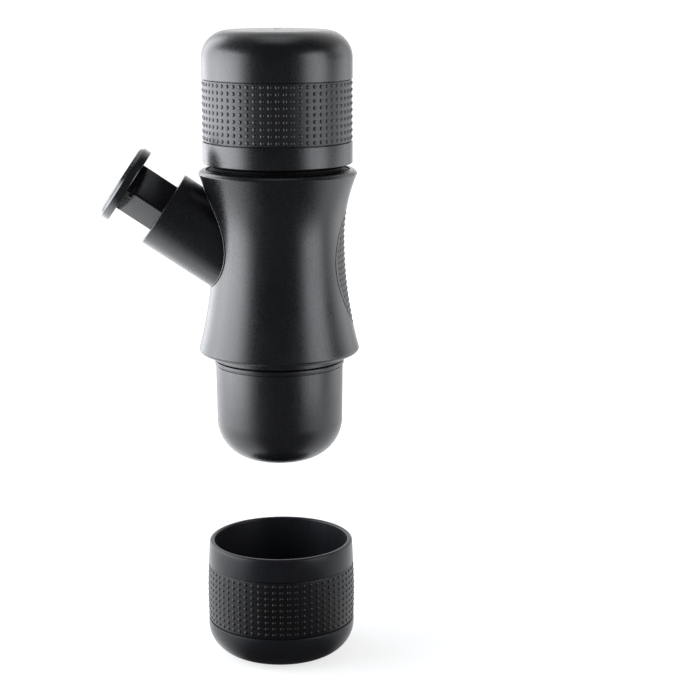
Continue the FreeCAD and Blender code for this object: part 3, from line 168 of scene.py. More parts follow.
class EspressoForm(bpy.types.PropertyGroup):
    """Sizes of the walls, edges, dots and threads."""
    seam_round: length("Seam rounding", "Rounding of edges at seams", 0.25 * MM)
    edge_round: length("Edge rounding", "Rounding of open edges", 0.4 * MM)
    lathe_steps: number("Lathe steps", "Faces round a turned piece", 256, 24)
    dot_radius: length("Dot radius", "Radius of a raised dot", 0.86 * MM)
    dot_height: length("Dot height", "Height of a raised dot", 0.37 * MM)
    dot_floor: length("Dot floor", "Band surface below the wall round it", 0.36 * MM)
    dots_round: number("Dots round", "Dots in one row of a band", 62, 8)
    dot_rows: number("Dot rows", "Rows of dots in a band", 9, 1)
    band_gap: length("Band gap", "Open seam above and below a band", 0.22 * MM)
    band_depth: length("Band depth", "Depth that a band is let in", 1.15 * MM)
    tank_wall: length("Tank wall", "Wall of the tank", 2.4 * MM)
    crown_round: length("Crown rounding", "Rounding of the tank's crown", 10.8 * MM)
    crown_fall: length("Crown fall", "Fall of the crown from its middle to its rounding", 0.3 * MM)
    neck_wall: length("Neck wall", "Wall of the tank's neck", 2.0 * MM)
    waist_radius: length("Waist radius", "Casing at its waist", 26.0 * MM)
    waist_rise: length("Waist rise", "Waist above the casing's foot", 45.8 * MM)
    flare_rise: length("Flare rise", "Widest circle above the casing's foot", 1.5 * MM)
    foot_inset: length("Foot inset", "Flat underside inside the widest circle", 1.5 * MM)
    foot_round: length("Foot rounding", "Rounding at the casing's foot", 1.6 * MM)
    rim_radius: length("Rim radius", "Casing at its rim", 31.2 * MM)
    rim_fall: length("Rim fall", "Rim's outer edge below its top", 1.6 * MM)
    rim_inset: length("Rim inset", "Rim's flat top inside its edge", 1.8 * MM)
    rim_round: length("Rim rounding", "Rounding of the casing's rim", 2.6 * MM)
    casing_wall: length("Casing wall", "Wall of the casing", 2.2 * MM)
    arm_radius: length("Arm radius", "Outside of the pump's arm", 15.7 * MM)
    arm_bead: length("Arm bead", "Radius of the bead where the arm meets the flank", 0.42 * MM)
    pad_groove: length("Pad groove", "Open groove round the side pad", 0.6 * MM)
    pad_sunk: length("Pad sunk", "Side pad's face below the flank", 0.06 * MM)
    pad_dots: share("Pad dots", "Size of the side pad's dots against those of the bands", 0.62)
    thread_lead: length("Thread lead", "Travel of a thread in one turn", 12.0 * MM)
    thread_rise: length("Thread rise", "Height of a thread's ridge", 0.9 * MM)
    stem_flats: length("Stem flats", "Stem across its flats", 14.7 * MM)
    spring_wire: length("Spring wire", "Radius of the return spring's wire", 0.5 * MM)
    spring_turns: FloatProperty(name="Spring turns", default=9.5, min=4,
                                description="Turns of the return spring, closed ends included")
    dome_round: length("Dome rounding", "Rounding of the outlet head's dome", 16.5 * MM)
    cup_base: length("Cup base", "Radius of the cup's base", 18.5 * MM)
    cup_round: length("Cup rounding", "Rounding of the cup's foot", 12.5 * MM)


class EspressoFinish(bpy.types.PropertyGroup):
    """Colours and gloss."""
    casing: colour("Casing", "Moulded plastic of casing, tank and head", (0.007, 0.0073, 0.0085))
    casing_roughness: share("Casing roughness", "Roughness of the casing", 0.28)
    cup: colour("Cup", "Moulded plastic of the cup", (0.0085, 0.0087, 0.0108))
    cup_roughness: share("Cup roughness", "Roughness of the cup", 0.33)
    rubber: colour("Rubber", "Rubber of the grips", (0.007, 0.007, 0.0078))
    rubber_roughness: share("Rubber roughness", "Roughness of the grips", 0.38)
    stem: colour("Stem", "Plastic of the stem", (0.005, 0.005, 0.0058))
    inner: colour("Inner plastic", "Plastic of the inner pieces", (0.07, 0.07, 0.074))
    silicone: colour("Silicone", "Silicone of tube and valves", (0.5, 0.52, 0.52))
    steel: colour("Steel", "Stainless steel", (0.62, 0.61, 0.6))


class EspressoStudio(bpy.types.PropertyGroup):
    """Camera and lamps."""
    camera_back: length("Camera back", "Camera to the machine's axis", 0.706)
    camera_height: length("Camera height", "Camera above the floor", 0.2807)
    camera_pitch: angle("Camera pitch", "Downward tilt of the camera", 12.35)
    camera_yaw: angle("Camera yaw", "Turn of the camera to the right", 2.3)
    lens: FloatProperty(name="Lens", description="Focal length for a 36 mm sensor", default=92.57,
                        unit="CAMERA")
    left_power: power("Left softbox", "Power of the left softbox", 6.4)
    rear_power: power("Rear softbox", "Power of the left rear softbox", 2.2)
    right_power: power("Right softbox", "Power of the right softbox", 2.15)
    edge_power: power("Edge softbox", "Power of the right rear softbox", 0.6)
    back_power: power("Back softbox", "Power of the wide softbox behind", 1.1)
    top_power: power("Top softbox", "Power of the top softbox", 0.8)


# ---------------------------------------------------------------- outlines

def bow(start, stop, bend, steps=24):
    """Points of the shorter arc between two points of an outline, without its last one. The arc
    turns left where bend, its radius, is positive."""
    a, b = Vector(start), Vector(stop)
    chord = b - a
    reach = math.sqrt(max(bend * bend - chord.length_squared / 4, 0))
    left = Vector((-chord.y, chord.x)).normalized()
    centre = (a + b) / 2 + left * math.copysign(reach, bend)
    first = math.atan2(a.y - centre.y, a.x - centre.x)
    radius = abs(bend)
    sweep = 2 * math.asin(min(chord.length / 2 / radius, 1)) * math.copysign(1, bend)
    return [(centre.x + radius * math.cos(first + sweep * i / steps),
             centre.y + radius * math.sin(first + sweep * i / steps)) for i in range(steps)]


def bend_of(half_chord, rise):
    """Radius of the arc that stands so far above the middle of its chord."""
    return (half_chord * half_chord + rise * rise) / (2 * rise)


def fillet(before, corner, after, radius, steps=5):
    """Points that round a corner of an outline, as far as its two sides have room."""
    side_share, nearly_straight = 0.49, 0.01
    p, a, b = Vector(corner), Vector(before), Vector(after)
    u, v = a - p, b - p
    room = min(u.length, v.length) * side_share
    u.normalize()
    v.normalize()
    half = math.acos(max(-1, min(1, u.dot(v)))) / 2
    if half > math.pi / 2 - nearly_straight or room <= 0:
        return [tuple(p)]
    reach = min(radius / math.tan(half), room)
    radius = reach * math.tan(half)
    centre = p + (u + v).normalized() * (radius / math.sin(half))
    one, two = p + u * reach - centre, p + v * reach - centre
    turn = -one.angle_signed(two)
    return [tuple(centre + Matrix.Rotation(turn * step / steps, 2) @ one)
            for step in range(steps + 1)]


def outline(corners):
    """A closed outline from corners: (radius, height), or (radius, height, rounding)."""
    points = []
    for index, corner in enumerate(corners):
        if len(corner) == 2:
            points.append(corner)
            continue
        before, after = corners[index - 1][:2], corners[(index + 1) % len(corners)][:2]
        points += fillet(before, corner[:2], after, corner[2])
    return points


# ---------------------------------------------------------------- mesh tools

def new_object(name, mesh):
    piece = bpy.data.objects.new(name, mesh)
    bpy.context.scene.collection.objects.link(piece)
    return piece


def soften(mesh, sharp):
    """Joins doubled points, turns the normals outwards and smooths all but the sharp edges."""
    form = bmesh.new()
    form.from_mesh(mesh)
    bmesh.ops.remove_doubles(form, verts=form.verts, dist=SAME_PLACE)
    bmesh.ops.recalc_face_normals(form, faces=form.faces)
    form.to_mesh(mesh)
    form.free()
    mesh.shade_smooth()
    mesh.set_sharp_from_angle(angle=math.radians(sharp))
    mesh.update()


def solid(name, vertices, faces, sharp=32):
    """An object from vertices and faces, its edges above an angle in degrees kept sharp."""
    mesh = bpy.data.meshes.new(name)
    mesh.from_pydata([tuple(vertex) for vertex in vertices], [], faces)
    soften(mesh, sharp)
    return new_object(name, mesh)


def ring_faces(count, rings, closed=False):
    """Faces between rings of vertices, with caps at the ends unless the rings are closed."""
    faces = []
    for ring in range(rings if closed else rings - 1):
        near, far = ring * count, (ring + 1) % rings * count
        faces += [(near + i, near + (i + 1) % count, far + (i + 1) % count, far + i)
                  for i in range(count)]
    if not closed:
        last = (rings - 1) * count
        faces += [tuple(range(count))[::-1], tuple(range(last, last + count))]
    return faces


def circle(steps):
    """Angles at equal steps all round."""
    return [2 * math.pi * step / steps for step in range(steps)]


def lathe(name, corners, steps, sharp=32):
    """A piece turned about the Z axis from the corners of its outline."""
    points = outline(corners)
    count = len(points)
    vertices = [(r * math.cos(t), r * math.sin(t), z) for t in circle(steps) for r, z in points]
    on_axis = [radius < SAME_PLACE for radius, level in points]
    faces = [face for face in ring_faces(count, steps, True)
             if not (on_axis[face[0] % count] and on_axis[face[1] % count])]
    return solid(name, vertices, faces, sharp)


def thread_ridge(form, radius, direction, foot, climb, start):
    """Vertices and faces of one helical ridge with tapered ends."""
    steps, tapers = 72, 8
    root_half, crest_half, sunk = 0.9 * MM, 0.4 * MM, 0.2 * MM
    root = radius - direction * sunk
    vertices = []
    for step in range(steps + 1):
        along = step / steps
        turn = start + 2 * math.pi * climb / form.thread_lead * along
        taper = min(1, along * tapers, (1 - along) * tapers)
        crest = radius + direction * form.thread_rise * taper
        for r, shift in ((root, -root_half), (crest, -crest_half), (crest, crest_half),
                         (root, root_half)):
            vertices.append((r * math.cos(turn), r * math.sin(turn), foot + climb * along + shift))
    return vertices, ring_faces(4, steps + 1)


def threads(name, form, radius, direction, foot, climb, starts=3):
    """All ridges of a thread, which stand outwards where direction is 1 and inwards where -1."""
    vertices, faces = [], []
    for start in circle(starts):
        more, more_faces = thread_ridge(form, radius, direction, foot, climb, start)
        faces += [tuple(len(vertices) + i for i in face) for face in more_faces]
        vertices += more
    return solid(name, vertices, faces, 28)


def wire(name, line, thick, closed, sides=8):
    """Round wire along points that run round the Z axis; a closed one joins its own start."""
    last = len(line) - 1
    vertices = []
    for turn, place in enumerate(line):
        after = line[0] if closed and turn == last else line[min(turn + 1, last)]
        before = line[turn - 1] if closed or turn else place
        along = (after - before).normalized()
        across = along.cross(Vector((place.x, place.y, 0))).normalized()
        out = across.cross(along)
        vertices += [place + (out * math.cos(t) + across * math.sin(t)) * thick
                     for t in circle(sides)]
    return solid(name, vertices, ring_faces(sides, len(line), closed), 60)


def dot_template(form, size, sides=14, rings=6):
    """One raised dot, a low dome with a sunk foot: points (across, up, height) and faces."""
    radius, height, sunk = form.dot_radius * size, form.dot_height * size, 0.1 * MM
    bend = bend_of(radius, height)
    points = [(0, 0, height)]
    for ring in range(1, rings + 1):
        reach = radius * ring / rings
        level = math.sqrt(bend * bend - reach * reach) - (bend - height)
        level = level if ring < rings else -sunk
        points += [(reach * math.cos(t), reach * math.sin(t), level) for t in circle(sides)]
    faces = [(0, 1 + side, 1 + (side + 1) % sides) for side in range(sides)]
    for ring in range(rings - 1):
        inner, outer = 1 + ring * sides, 1 + (ring + 1) * sides
        for side in range(sides):
            other = (side + 1) % sides
            faces.append((inner + side, outer + side, outer + other, inner + other))
    return points, faces


def dots_on(name, places, form, size=1.0):
    """Raised dots at places given as (centre, across, up, outwards)."""
    points, faces = dot_template(form, size)
    vertices, all_faces = [], []
    for centre, across, up, outwards in places:
        all_faces += [tuple(len(vertices) + i for i in face) for face in faces]
        vertices += [tuple(centre + across * x + up * y + outwards * h) for x, y, h in points]
    mesh = bpy.data.meshes.new(name)
    mesh.from_pydata(vertices, [], all_faces)
    mesh.shade_smooth()
    mesh.update()
    return new_object(name, mesh)


def band_places(radius, foot, top, form):
    """Dots in a square grid round a band. radius gives the band's radius at a height."""
    rows, edge_share = form.dot_rows, 0.06
    pitch = (top - foot) / (rows + edge_share)
    first = (foot + top) / 2 - pitch * (rows - 1) / 2
    up = Vector((0, 0, 1))
    places = []
    for row in range(rows):
        level = first + pitch * row
        for step in range(form.dots_round):
            turn = 2 * math.pi * (step + 0.5) / form.dots_round
            outwards = Vector((math.cos(turn), math.sin(turn), 0))
            places.append((outwards * radius(level) + up * level, up.cross(outwards), up,
                           outwards))
    return places


def joined(name, pieces):
    """Several objects as one."""
    with bpy.context.temp_override(active_object=pieces[0], selected_editable_objects=pieces):
        bpy.ops.object.join()
    pieces[0].name = name
    pieces[0].data.name = name
    return pieces[0]


def shaped(target, tool, operation):
    """Applies a boolean with another object, which is then removed."""
    change = target.modifiers.new("shape", "BOOLEAN")
    change.operation = operation
    change.object = tool
    change.solver = "MANIFOLD"
    depsgraph = bpy.context.evaluated_depsgraph_get()
    mesh = bpy.data.meshes.new_from_object(target.evaluated_get(depsgraph))
    target.modifiers.remove(change)
    old, tool_mesh = target.data, tool.data
    target.data = mesh
    bpy.data.objects.remove(tool)
    bpy.data.meshes.remove(old)
    bpy.data.meshes.remove(tool_mesh)


def on_pump(piece):
    """Carries a piece drawn about the Z axis onto the pump's axis."""
    piece.data.transform(PUMP)
    piece.data.update()
    return piece


def finish_piece(piece, body, material, node):
    """Dresses a piece, gives it its body and hides the node that it stands for."""
    if not len(piece.data.polygons):
        raise RuntimeError(f"{piece.name} has no faces")
    piece.data.materials.clear()
    piece.data.materials.append(material)
    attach(piece, body)
    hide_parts(node)


# ---------------------------------------------------------------- materials

class Graph:
    """Lays out the shader nodes of a material, a lamp or the world."""

    def __init__(self, owner, clear=False):
        owner.use_nodes = True
        self.nodes, self.links = owner.node_tree.nodes, owner.node_tree.links
        if clear:
            self.nodes.clear()

    def put(self, value, socket):
        """Feeds a socket from another one, or sets its number, vector or colour."""
        if isinstance(value, bpy.types.NodeSocket):
            self.links.new(value, socket)
        elif socket.type == "RGBA":
            socket.default_value = (*value, 1)
        else:
            socket.default_value = value

    def node(self, kind, values, **choices):
        """A new node with its choices, and with values for its inputs by name or number."""
        node = self.nodes.new("ShaderNode" + kind)
        for name, choice in choices.items():
            setattr(node, name, choice)
        for name, value in values.items():
            self.put(value, node.inputs[name])
        return node

    def maths(self, operation, *values):
        return self.node("Math", dict(enumerate(values)), operation=operation).outputs[0]

    def ramp(self, value, start, stop, low, high, change="SMOOTHSTEP"):
        """Goes from low to high as a value goes from start to stop."""
        values = {"Value": value, "From Min": start, "From Max": stop, "To Min": low,
                  "To Max": high}
        return self.node("MapRange", values, interpolation_type=change).outputs["Result"]


class Surface(Graph):
    """A material laid out round its Principled shader."""

    def __init__(self, name, base, roughness, metallic=0.0, gleam=0.5):
        self.material = bpy.data.materials.new(name)
        super().__init__(self.material)
        self.inputs = self.nodes["Principled BSDF"].inputs
        for socket, value in (("Base Color", base), ("Roughness", roughness),
                              ("Metallic", metallic), ("Specular IOR Level", gleam)):
            self.put(value, self.inputs[socket])
        self.place = self.node("TexCoord", {}).outputs["Object"]
        self.normal = None

    def noise(self, scale, detail=2.0, roughness=0.5, stretch=None):
        """Cloudy pattern with so many swells in a metre, which may be stretched along an axis."""
        place = self.place
        if stretch:
            place = self.node("Mapping", {"Vector": place, "Scale": stretch}).outputs["Vector"]
        return self.node("TexNoise", {"Vector": place, "Scale": scale, "Detail": detail,
                                      "Roughness": roughness}).outputs["Fac"]

    def spread(self, value, low, high, start=0.3, stop=0.7):
        """Evens out a pattern, which lies mostly between 0.3 and 0.7, from low to high."""
        return self.ramp(value, start, stop, low, high, "LINEAR")

    def blend(self, factor, first, second):
        """Mixes two colours."""
        return self.node("Mix", {0: factor, 6: first, 7: second}, data_type="RGBA").outputs[2]

    def edge(self, low=0.52, high=0.6):
        """1 on convex edges, 0 elsewhere."""
        pointed = self.node("NewGeometry", {}).outputs["Pointiness"]
        return self.spread(pointed, 0, 1, low, high)

    def bump(self, height, distance, strength):
        values = {"Height": height, "Distance": distance, "Strength": strength}
        if self.normal is not None:
            values["Normal"] = self.normal
        self.normal = self.node("Bump", values).outputs["Normal"]
        self.put(self.normal, self.inputs["Normal"])

    def dress(self, tone, gloss):
        """Gives the shader its colour and its roughness."""
        self.put(tone, self.inputs["Base Color"])
        self.put(gloss, self.inputs["Roughness"])


def lighter(tone, factor):
    return tuple(min(1, channel * factor) for channel in tone)


def moulded_plastic(name, base, roughness, grain=0.012 * MM, wear_and_sheen=2.2, gleam=0.5):
    """Satin plastic with a fine spark-eroded grain, cloudy gloss and slightly rubbed edges,
    painted lighter: partly wear, partly a painted edge highlight.
    """
    surface = Surface(name, base, roughness, gleam=gleam)
    fine = surface.noise(5200, 3)
    mottle = surface.noise(1500, 3, 0.6)
    cloud = surface.noise(55, 4)
    streak = surface.noise(900, 2, stretch=(1, 1, 0.12))
    patchy = surface.spread(surface.noise(240, 3), 0, 1)
    worn_sheen_edges = surface.maths("MULTIPLY", surface.edge(), patchy)
    tone = surface.blend(surface.spread(cloud, 0, 1), lighter(base, 0.88), lighter(base, 1.14))
    gloss = surface.spread(cloud, roughness - 0.03, roughness + 0.03)
    for pattern, low, high in ((streak, -0.02, 0.02), (mottle, -0.05, 0.05), (fine, -0.04, 0.05)):
        gloss = surface.maths("ADD", gloss, surface.spread(pattern, low, high))
    polish = surface.spread(worn_sheen_edges, 0.0, -0.14, 0, 1)
    # Edges painted lighter: partly wear, partly a painted edge highlight.
    surface.dress(surface.blend(worn_sheen_edges, tone, lighter(base, wear_and_sheen)),
                  surface.maths("ADD", gloss, polish))
    surface.bump(fine, grain, 0.9)
    surface.bump(mottle, grain * 2.5, 0.5)
    surface.bump(surface.noise(120, 2), grain * 4, 0.25)
    return surface.material


def grip_rubber(name, base, roughness, gleam):
    """Matte rubber with a cloudy tone, polished on its dots, whose colour is painted lighter as a
    painted highlight.
    """
    surface = Surface(name, base, roughness, gleam=gleam)
    fine = surface.noise(6500, 4)
    cloud = surface.noise(90, 3)
    raised = surface.edge(0.5, 0.56)
    tone = surface.blend(surface.spread(cloud, 0, 1), lighter(base, 0.8), lighter(base, 1.25))
    gloss = surface.spread(fine, roughness, roughness + 0.1)
    polish = surface.spread(raised, 0.0, -0.2, 0, 1)
    # The dots are painted lighter: a painted highlight.
    surface.dress(surface.blend(raised, tone, lighter(base, 2.4)),
                  surface.maths("ADD", gloss, polish))
    surface.bump(fine, 0.01 * MM, 0.8)
    return surface.material


def soft_silicone(name, base):
    """Milky silicone with a faint cloud and a skin of fine dust."""
    surface = Surface(name, base, 0.45)
    surface.put(0.25, surface.inputs["Subsurface Weight"])
    surface.put(2 * MM, surface.inputs["Subsurface Scale"])
    cloud = surface.noise(180, 4)
    tone = surface.blend(surface.spread(cloud, 0, 1), lighter(base, 0.9), lighter(base, 1.08))
    surface.dress(tone, surface.spread(surface.noise(2500, 3), 0.38, 0.55))
    surface.bump(cloud, 0.02 * MM, 0.4)
    return surface.material


def worked_steel(name, base, roughness, stretch=(1, 1, 0.04)):
    """Drawn or pressed steel with fine lines, spots and bright edges."""
    surface = Surface(name, base, roughness, metallic=1.0)
    lines = surface.noise(5200, 3, stretch=stretch)
    spots = surface.noise(260, 4)
    tone = surface.blend(surface.spread(spots, 0, 1), lighter(base, 0.82), lighter(base, 1.05))
    gloss = surface.maths("ADD", surface.spread(lines, roughness - 0.07, roughness + 0.1),
                          surface.spread(spots, -0.03, 0.04))
    surface.dress(surface.blend(surface.edge(), tone, lighter(base, 1.2)), gloss)
    surface.bump(lines, 0.006 * MM, 0.6)
    return surface.material


@functools.cache
def finishes():
    """Every material, made once."""
    look = bpy.context.scene.espresso_finish
    satin, grip = look.casing_roughness, look.rubber_roughness
    return {
        "casing": moulded_plastic("casing_satin", look.casing, satin),
        "head": moulded_plastic("head_satin", look.casing, satin + 0.03),
        "cup": moulded_plastic("cup_satin", look.cup, look.cup_roughness, gleam=0.22),
        "knob": moulded_plastic("knob_satin", look.casing, satin - 0.06, 0.006 * MM, gleam=0.9),
        "stem": moulded_plastic("stem_satin", look.stem, satin - 0.04, 0.005 * MM, gleam=0.36),
        "socket": moulded_plastic("socket_matte", look.stem, 0.62, gleam=0.15),
        "rubber": grip_rubber("grip_rubber", look.rubber, grip, 0.42),
        "cup rubber": grip_rubber("cup_rubber", lighter(look.rubber, 0.55), grip, 0.24),
        "seal": grip_rubber("seal_rubber", lighter(look.rubber, 0.6), 0.6, 0.12),
        "inner": moulded_plastic("pump_plastic", look.inner, 0.5, 0.02 * MM, 1.3),
        "silicone": soft_silicone("silicone", look.silicone),
        "steel": worked_steel("pressed_steel", look.steel, 0.28),
        "screw": worked_steel("screw_steel", lighter(look.steel, 0.82), 0.36, (1, 1, 0.3)),
        "spring": worked_steel("spring_wire", lighter(look.steel, 0.9), 0.3, (1, 1, 1)),
    }


def settings(context):
    """Sizes and materials that the pieces are made with."""
    return context.scene.espresso_form, finishes()


# ---------------------------------------------------------------- tank

class ESPRESSO_OT_tank(bpy.types.Operator):
    """Domed tank with its threaded neck"""
    bl_idname = "espresso.tank"
    bl_label = "Water Tank"
    bl_options = {"REGISTER", "UNDO"}

    def execute(self, context):
        form, finish = settings(context)
        neck_inset, inner_round, vent_head_to_stem, fall_share = 6.4 * MM, 0.8 * MM, 2.5, 0.4
        vent_play, vent_edge, vent_sunk = 0.05 * MM, 0.2 * MM, 0.15 * MM
        thread_start, thread_clear = 1.8 * MM, 6.2 * MM
        radius = node_radius("water_tank")
        band_foot, band_top = node_levels("tank_grip_band")
        wall, crown, fall = form.tank_wall, form.crown_round, form.crown_fall
        seam, edge = form.seam_round, form.edge_round
        neck = radius - neck_inset
        bore = neck - form.neck_wall
        inner = radius - wall
        let_in = radius - form.band_depth
        floor = TANK_FOOT + wall
        shoulder, flat = TANK_TOP - crown, radius - crown
        crown_bend, flat_bend = crown - fall * fall_share, flat * flat / (2 * fall)
        vent = node_radius("air_vent_valve") / vent_head_to_stem + vent_play
        vent_rim = (vent + vent_edge, TANK_TOP)

        corners = [(vent, TANK_TOP - vent_sunk), (vent, TANK_TOP - wall)]
        corners += bow((flat, TANK_TOP - wall), (inner, shoulder), wall - crown)
        corners += [(inner, shoulder), (inner, floor, inner_round), (bore, floor, inner_round),
                    (bore, NECK_FOOT, edge), (neck, NECK_FOOT, edge), (neck, TANK_FOOT),
                    (radius, TANK_FOOT, edge), (radius, band_foot, seam), (let_in, band_foot),
                    (let_in, band_top), (radius, band_top, seam)]
        corners += bow((radius, shoulder), (flat, TANK_TOP - fall), crown_bend, 32)
        corners += bow((flat, TANK_TOP - fall), vent_rim, flat_bend, 12)
        corners += [vent_rim]
        tank = lathe("tank_wall", corners, form.lathe_steps)
        ridges = threads("tank_thread", form, neck, 1, NECK_FOOT + thread_start,
                         TANK_FOOT - NECK_FOOT - thread_clear)
        piece = joined("tank_wall", [tank, ridges])
        finish_piece(piece, "tank", finish["casing"], "water_tank")
        return {"FINISHED"}


class ESPRESSO_OT_tank_seal(bpy.types.Operator):
    """Lip seal under the tank's shoulder, waisted above and below its lip"""
    bl_idname = "espresso.tank_seal"
    bl_label = "Tank Seal"
    bl_options = {"REGISTER", "UNDO"}

    def execute(self, context):
        form, finish = settings(context)
        width, waist_depth, lip_depth, lip_half = 3.2 * MM, 1.7 * MM, 0.3 * MM, 0.22 * MM
        waist_round, lip_round, fade_share = 0.2 * MM, 0.12 * MM, 0.22
        radius = node_radius("tank_seal")
        foot, top = node_levels("tank_seal")
        bore, waist, lip = radius - width, radius - waist_depth, radius - lip_depth
        middle, fade = (foot + top) / 2, (top - foot) * fade_share
        seal = lathe("lip_seal", [
            (bore, foot), (waist, foot, waist_round), (waist, middle - fade, waist_round),
            (lip, middle - lip_half, lip_round), (lip, middle + lip_half, lip_round),
            (waist, middle + fade, waist_round), (waist, top, waist_round), (bore, top),
        ], form.lathe_steps)
        finish_piece(seal, "machine", finish["seal"], "tank_seal")
        return {"FINISHED"}


class ESPRESSO_OT_tank_band(bpy.types.Operator):
    """Rubber band with raised dots round the tank"""
    bl_idname = "espresso.tank_band"
    bl_label = "Tank Grip Band"
    bl_options = {"REGISTER", "UNDO"}

    def execute(self, context):
        form, finish = settings(context)
        margin = 0.25 * MM
        radius = node_radius("tank_grip_band")
        foot, top = node_levels("tank_grip_band")
        face, back, seam = radius - form.dot_floor, radius - form.band_depth, form.seam_round
        low, high = foot + form.band_gap, top - form.band_gap
        band = lathe("tank_band", [(back, low), (face, low, seam), (face, high, seam),
                                   (back, high)], form.lathe_steps)
        places = band_places(lambda level: face, foot + margin, top - margin, form)
        piece = joined("tank_band", [band, dots_on("tank_dots", places, form)])
        finish_piece(piece, "tank", finish["rubber"], "tank_grip_band")
        return {"FINISHED"}


# ---------------------------------------------------------------- casing and its pad

ARM_STEPS, KNOB_STEPS, PIN_STEPS = 128, 192, 64


def flank_radius(form, level):
    """Outside radius of the casing at a height: one arc below the waist and one above it."""
    offset = level - CASING_FOOT - form.waist_rise
    if offset > 0:
        reach = CASING_TOP - CASING_FOOT - form.waist_rise - form.rim_fall
        bend = bend_of(reach, form.rim_radius - form.waist_radius)
    else:
        reach = form.waist_rise - form.flare_rise
        bend = bend_of(reach, node_radius("main_shell") - form.waist_radius)
    return form.waist_radius + bend - math.sqrt(bend * bend - offset * offset)


def flank(form, depth, foot, top, steps):
    """Points up the casing's flank, set inwards by a depth."""
    levels = [foot + (top - foot) * i / steps for i in range(steps + 1)]
    return [(flank_radius(form, level) - depth, level) for level in levels]


def casing_outside(form):
    """The casing's outline, as if it were solid."""
    flare = node_radius("main_shell")
    flare_level, rim_level = CASING_FOOT + form.flare_rise, CASING_TOP - form.rim_fall
    rim_flat = (form.rim_radius - form.rim_inset, CASING_TOP)
    corners = [(0, CASING_FOOT)]
    corners += bow((flare - form.foot_inset, CASING_FOOT), (flare, flare_level), form.foot_round,
                   12)
    corners += flank(form, 0, flare_level, rim_level, 80)[:-1]
    corners += bow((form.rim_radius, rim_level), rim_flat, form.rim_round, 10)
    return corners + [rim_flat, (0, CASING_TOP)]


def casing_inside(form):
    """What is hollow in the casing: the collar's seat, the web's opening, the inside of the wall
    and the socket's mouth."""
    play, past, web_bore = 0.2 * MM, 1 * MM, 22.6 * MM
    web_foot, web_top = CASING_FOOT + 3 * MM, CASING_FOOT + 6.2 * MM
    seat_depth, pocket_rise = 3.6 * MM, 6 * MM
    socket_foot, socket_top = node_levels("tank_socket")
    seat, pocket_foot = socket_top - seat_depth, socket_foot + pocket_rise
    mouth = node_radius("tank_socket") + play
    collar = node_radius("brew_boss") + play
    pocket = flank_radius(form, pocket_foot) - form.casing_wall
    corners = [(0, CASING_FOOT - past), (collar, CASING_FOOT - past), (collar, web_foot),
               (web_bore, web_foot), (web_bore, web_top)]
    corners += flank(form, form.casing_wall, web_top, pocket_foot, 40)
    return corners + [(pocket, seat), (mouth, seat), (mouth, CASING_TOP + past),
                      (0, CASING_TOP + past)]


def arm_bore(form):
    """What is hollow in the pump's arm, with a chamfer at its mouth."""
    foot, past = 12 * MM, 1 * MM
    bore, chamfer_foot, chamfer_top = form.arm_radius - form.casing_wall, 0.3 * MM, 0.1 * MM
    mouth_bore = bore + chamfer_foot + chamfer_top
    return [(0, foot), (bore, foot), (bore, MOUTH - chamfer_foot),
            (mouth_bore, MOUTH + chamfer_top), (mouth_bore, MOUTH + past), (0, MOUTH + past)]


def arm_bead(form, steps=180, halvings=40):
    """Fine bead along the line where the arm meets the casing's flank."""
    arm_root = 10 * MM
    line = []
    for turn in circle(steps):
        x, y = form.arm_radius * math.cos(turn), form.arm_radius * math.sin(turn)
        near, far = arm_root, MOUTH
        for halving in range(halvings):
            middle = (near + far) / 2
            place = PUMP @ Vector((x, y, middle))
            inside = math.hypot(place.x, place.y) < flank_radius(form, place.z)
            near, far = (middle, far) if inside else (near, middle)
        line.append(PUMP @ Vector((x, y, near)))
    return wire("arm_bead", line, form.arm_bead, True)


def leaf_width(half_height, half_width, climb):
    """Half the width of a leaf of two equal arcs, so far above or below its middle."""
    bend = bend_of(half_height, half_width)
    return math.sqrt(bend * bend - climb * climb) - bend + half_width


def leaf_block(name, form, shrink, under, over, columns=28, rows=96):
    """Solid with the leaf's outline that follows the casing's flank, from under it to over it.
    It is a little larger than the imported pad, less what it shrinks by at its sides."""
    play, tip_half, tip_share = 0.3 * MM, 0.02 * MM, 2
    low, high = node_box("side_grip_pad")
    half_height = (high.z - low.z) / 2 + (play - shrink) * tip_share
    half_width = high.y + play - shrink
    middle = (high.z + low.z) / 2
    vertices = []
    for layer in (under, over):
        for row in range(rows + 1):
            climb = -math.cos(math.pi * row / rows) * half_height
            width = max(leaf_width(half_height, half_width, climb), tip_half)
            radius = flank_radius(form, middle + climb) + layer
            for column in range(columns + 1):
                y = width * (2 * column / columns - 1)
                vertices.append((math.sqrt(radius * radius - y * y), y, middle + climb))
    line, sheet = columns + 1, (columns + 1) * (rows + 1)
    faces = []
    for row in range(rows):
        for column in range(columns):
            a = row * line + column
            face = (a, a + 1, a + line + 1, a + line)
            faces += [face, tuple(sheet + corner for corner in face)]
    rim = list(range(columns))
    rim += [row * line + columns for row in range(rows)]
    rim += [rows * line + column for column in range(columns, 0, -1)]
    rim += [row * line for row in range(rows, 0, -1)]
    faces += [(a, b, sheet + b, sheet + a) for a, b in zip(rim, rim[1:] + rim[:1])]
    return solid(name, vertices, faces, 40)


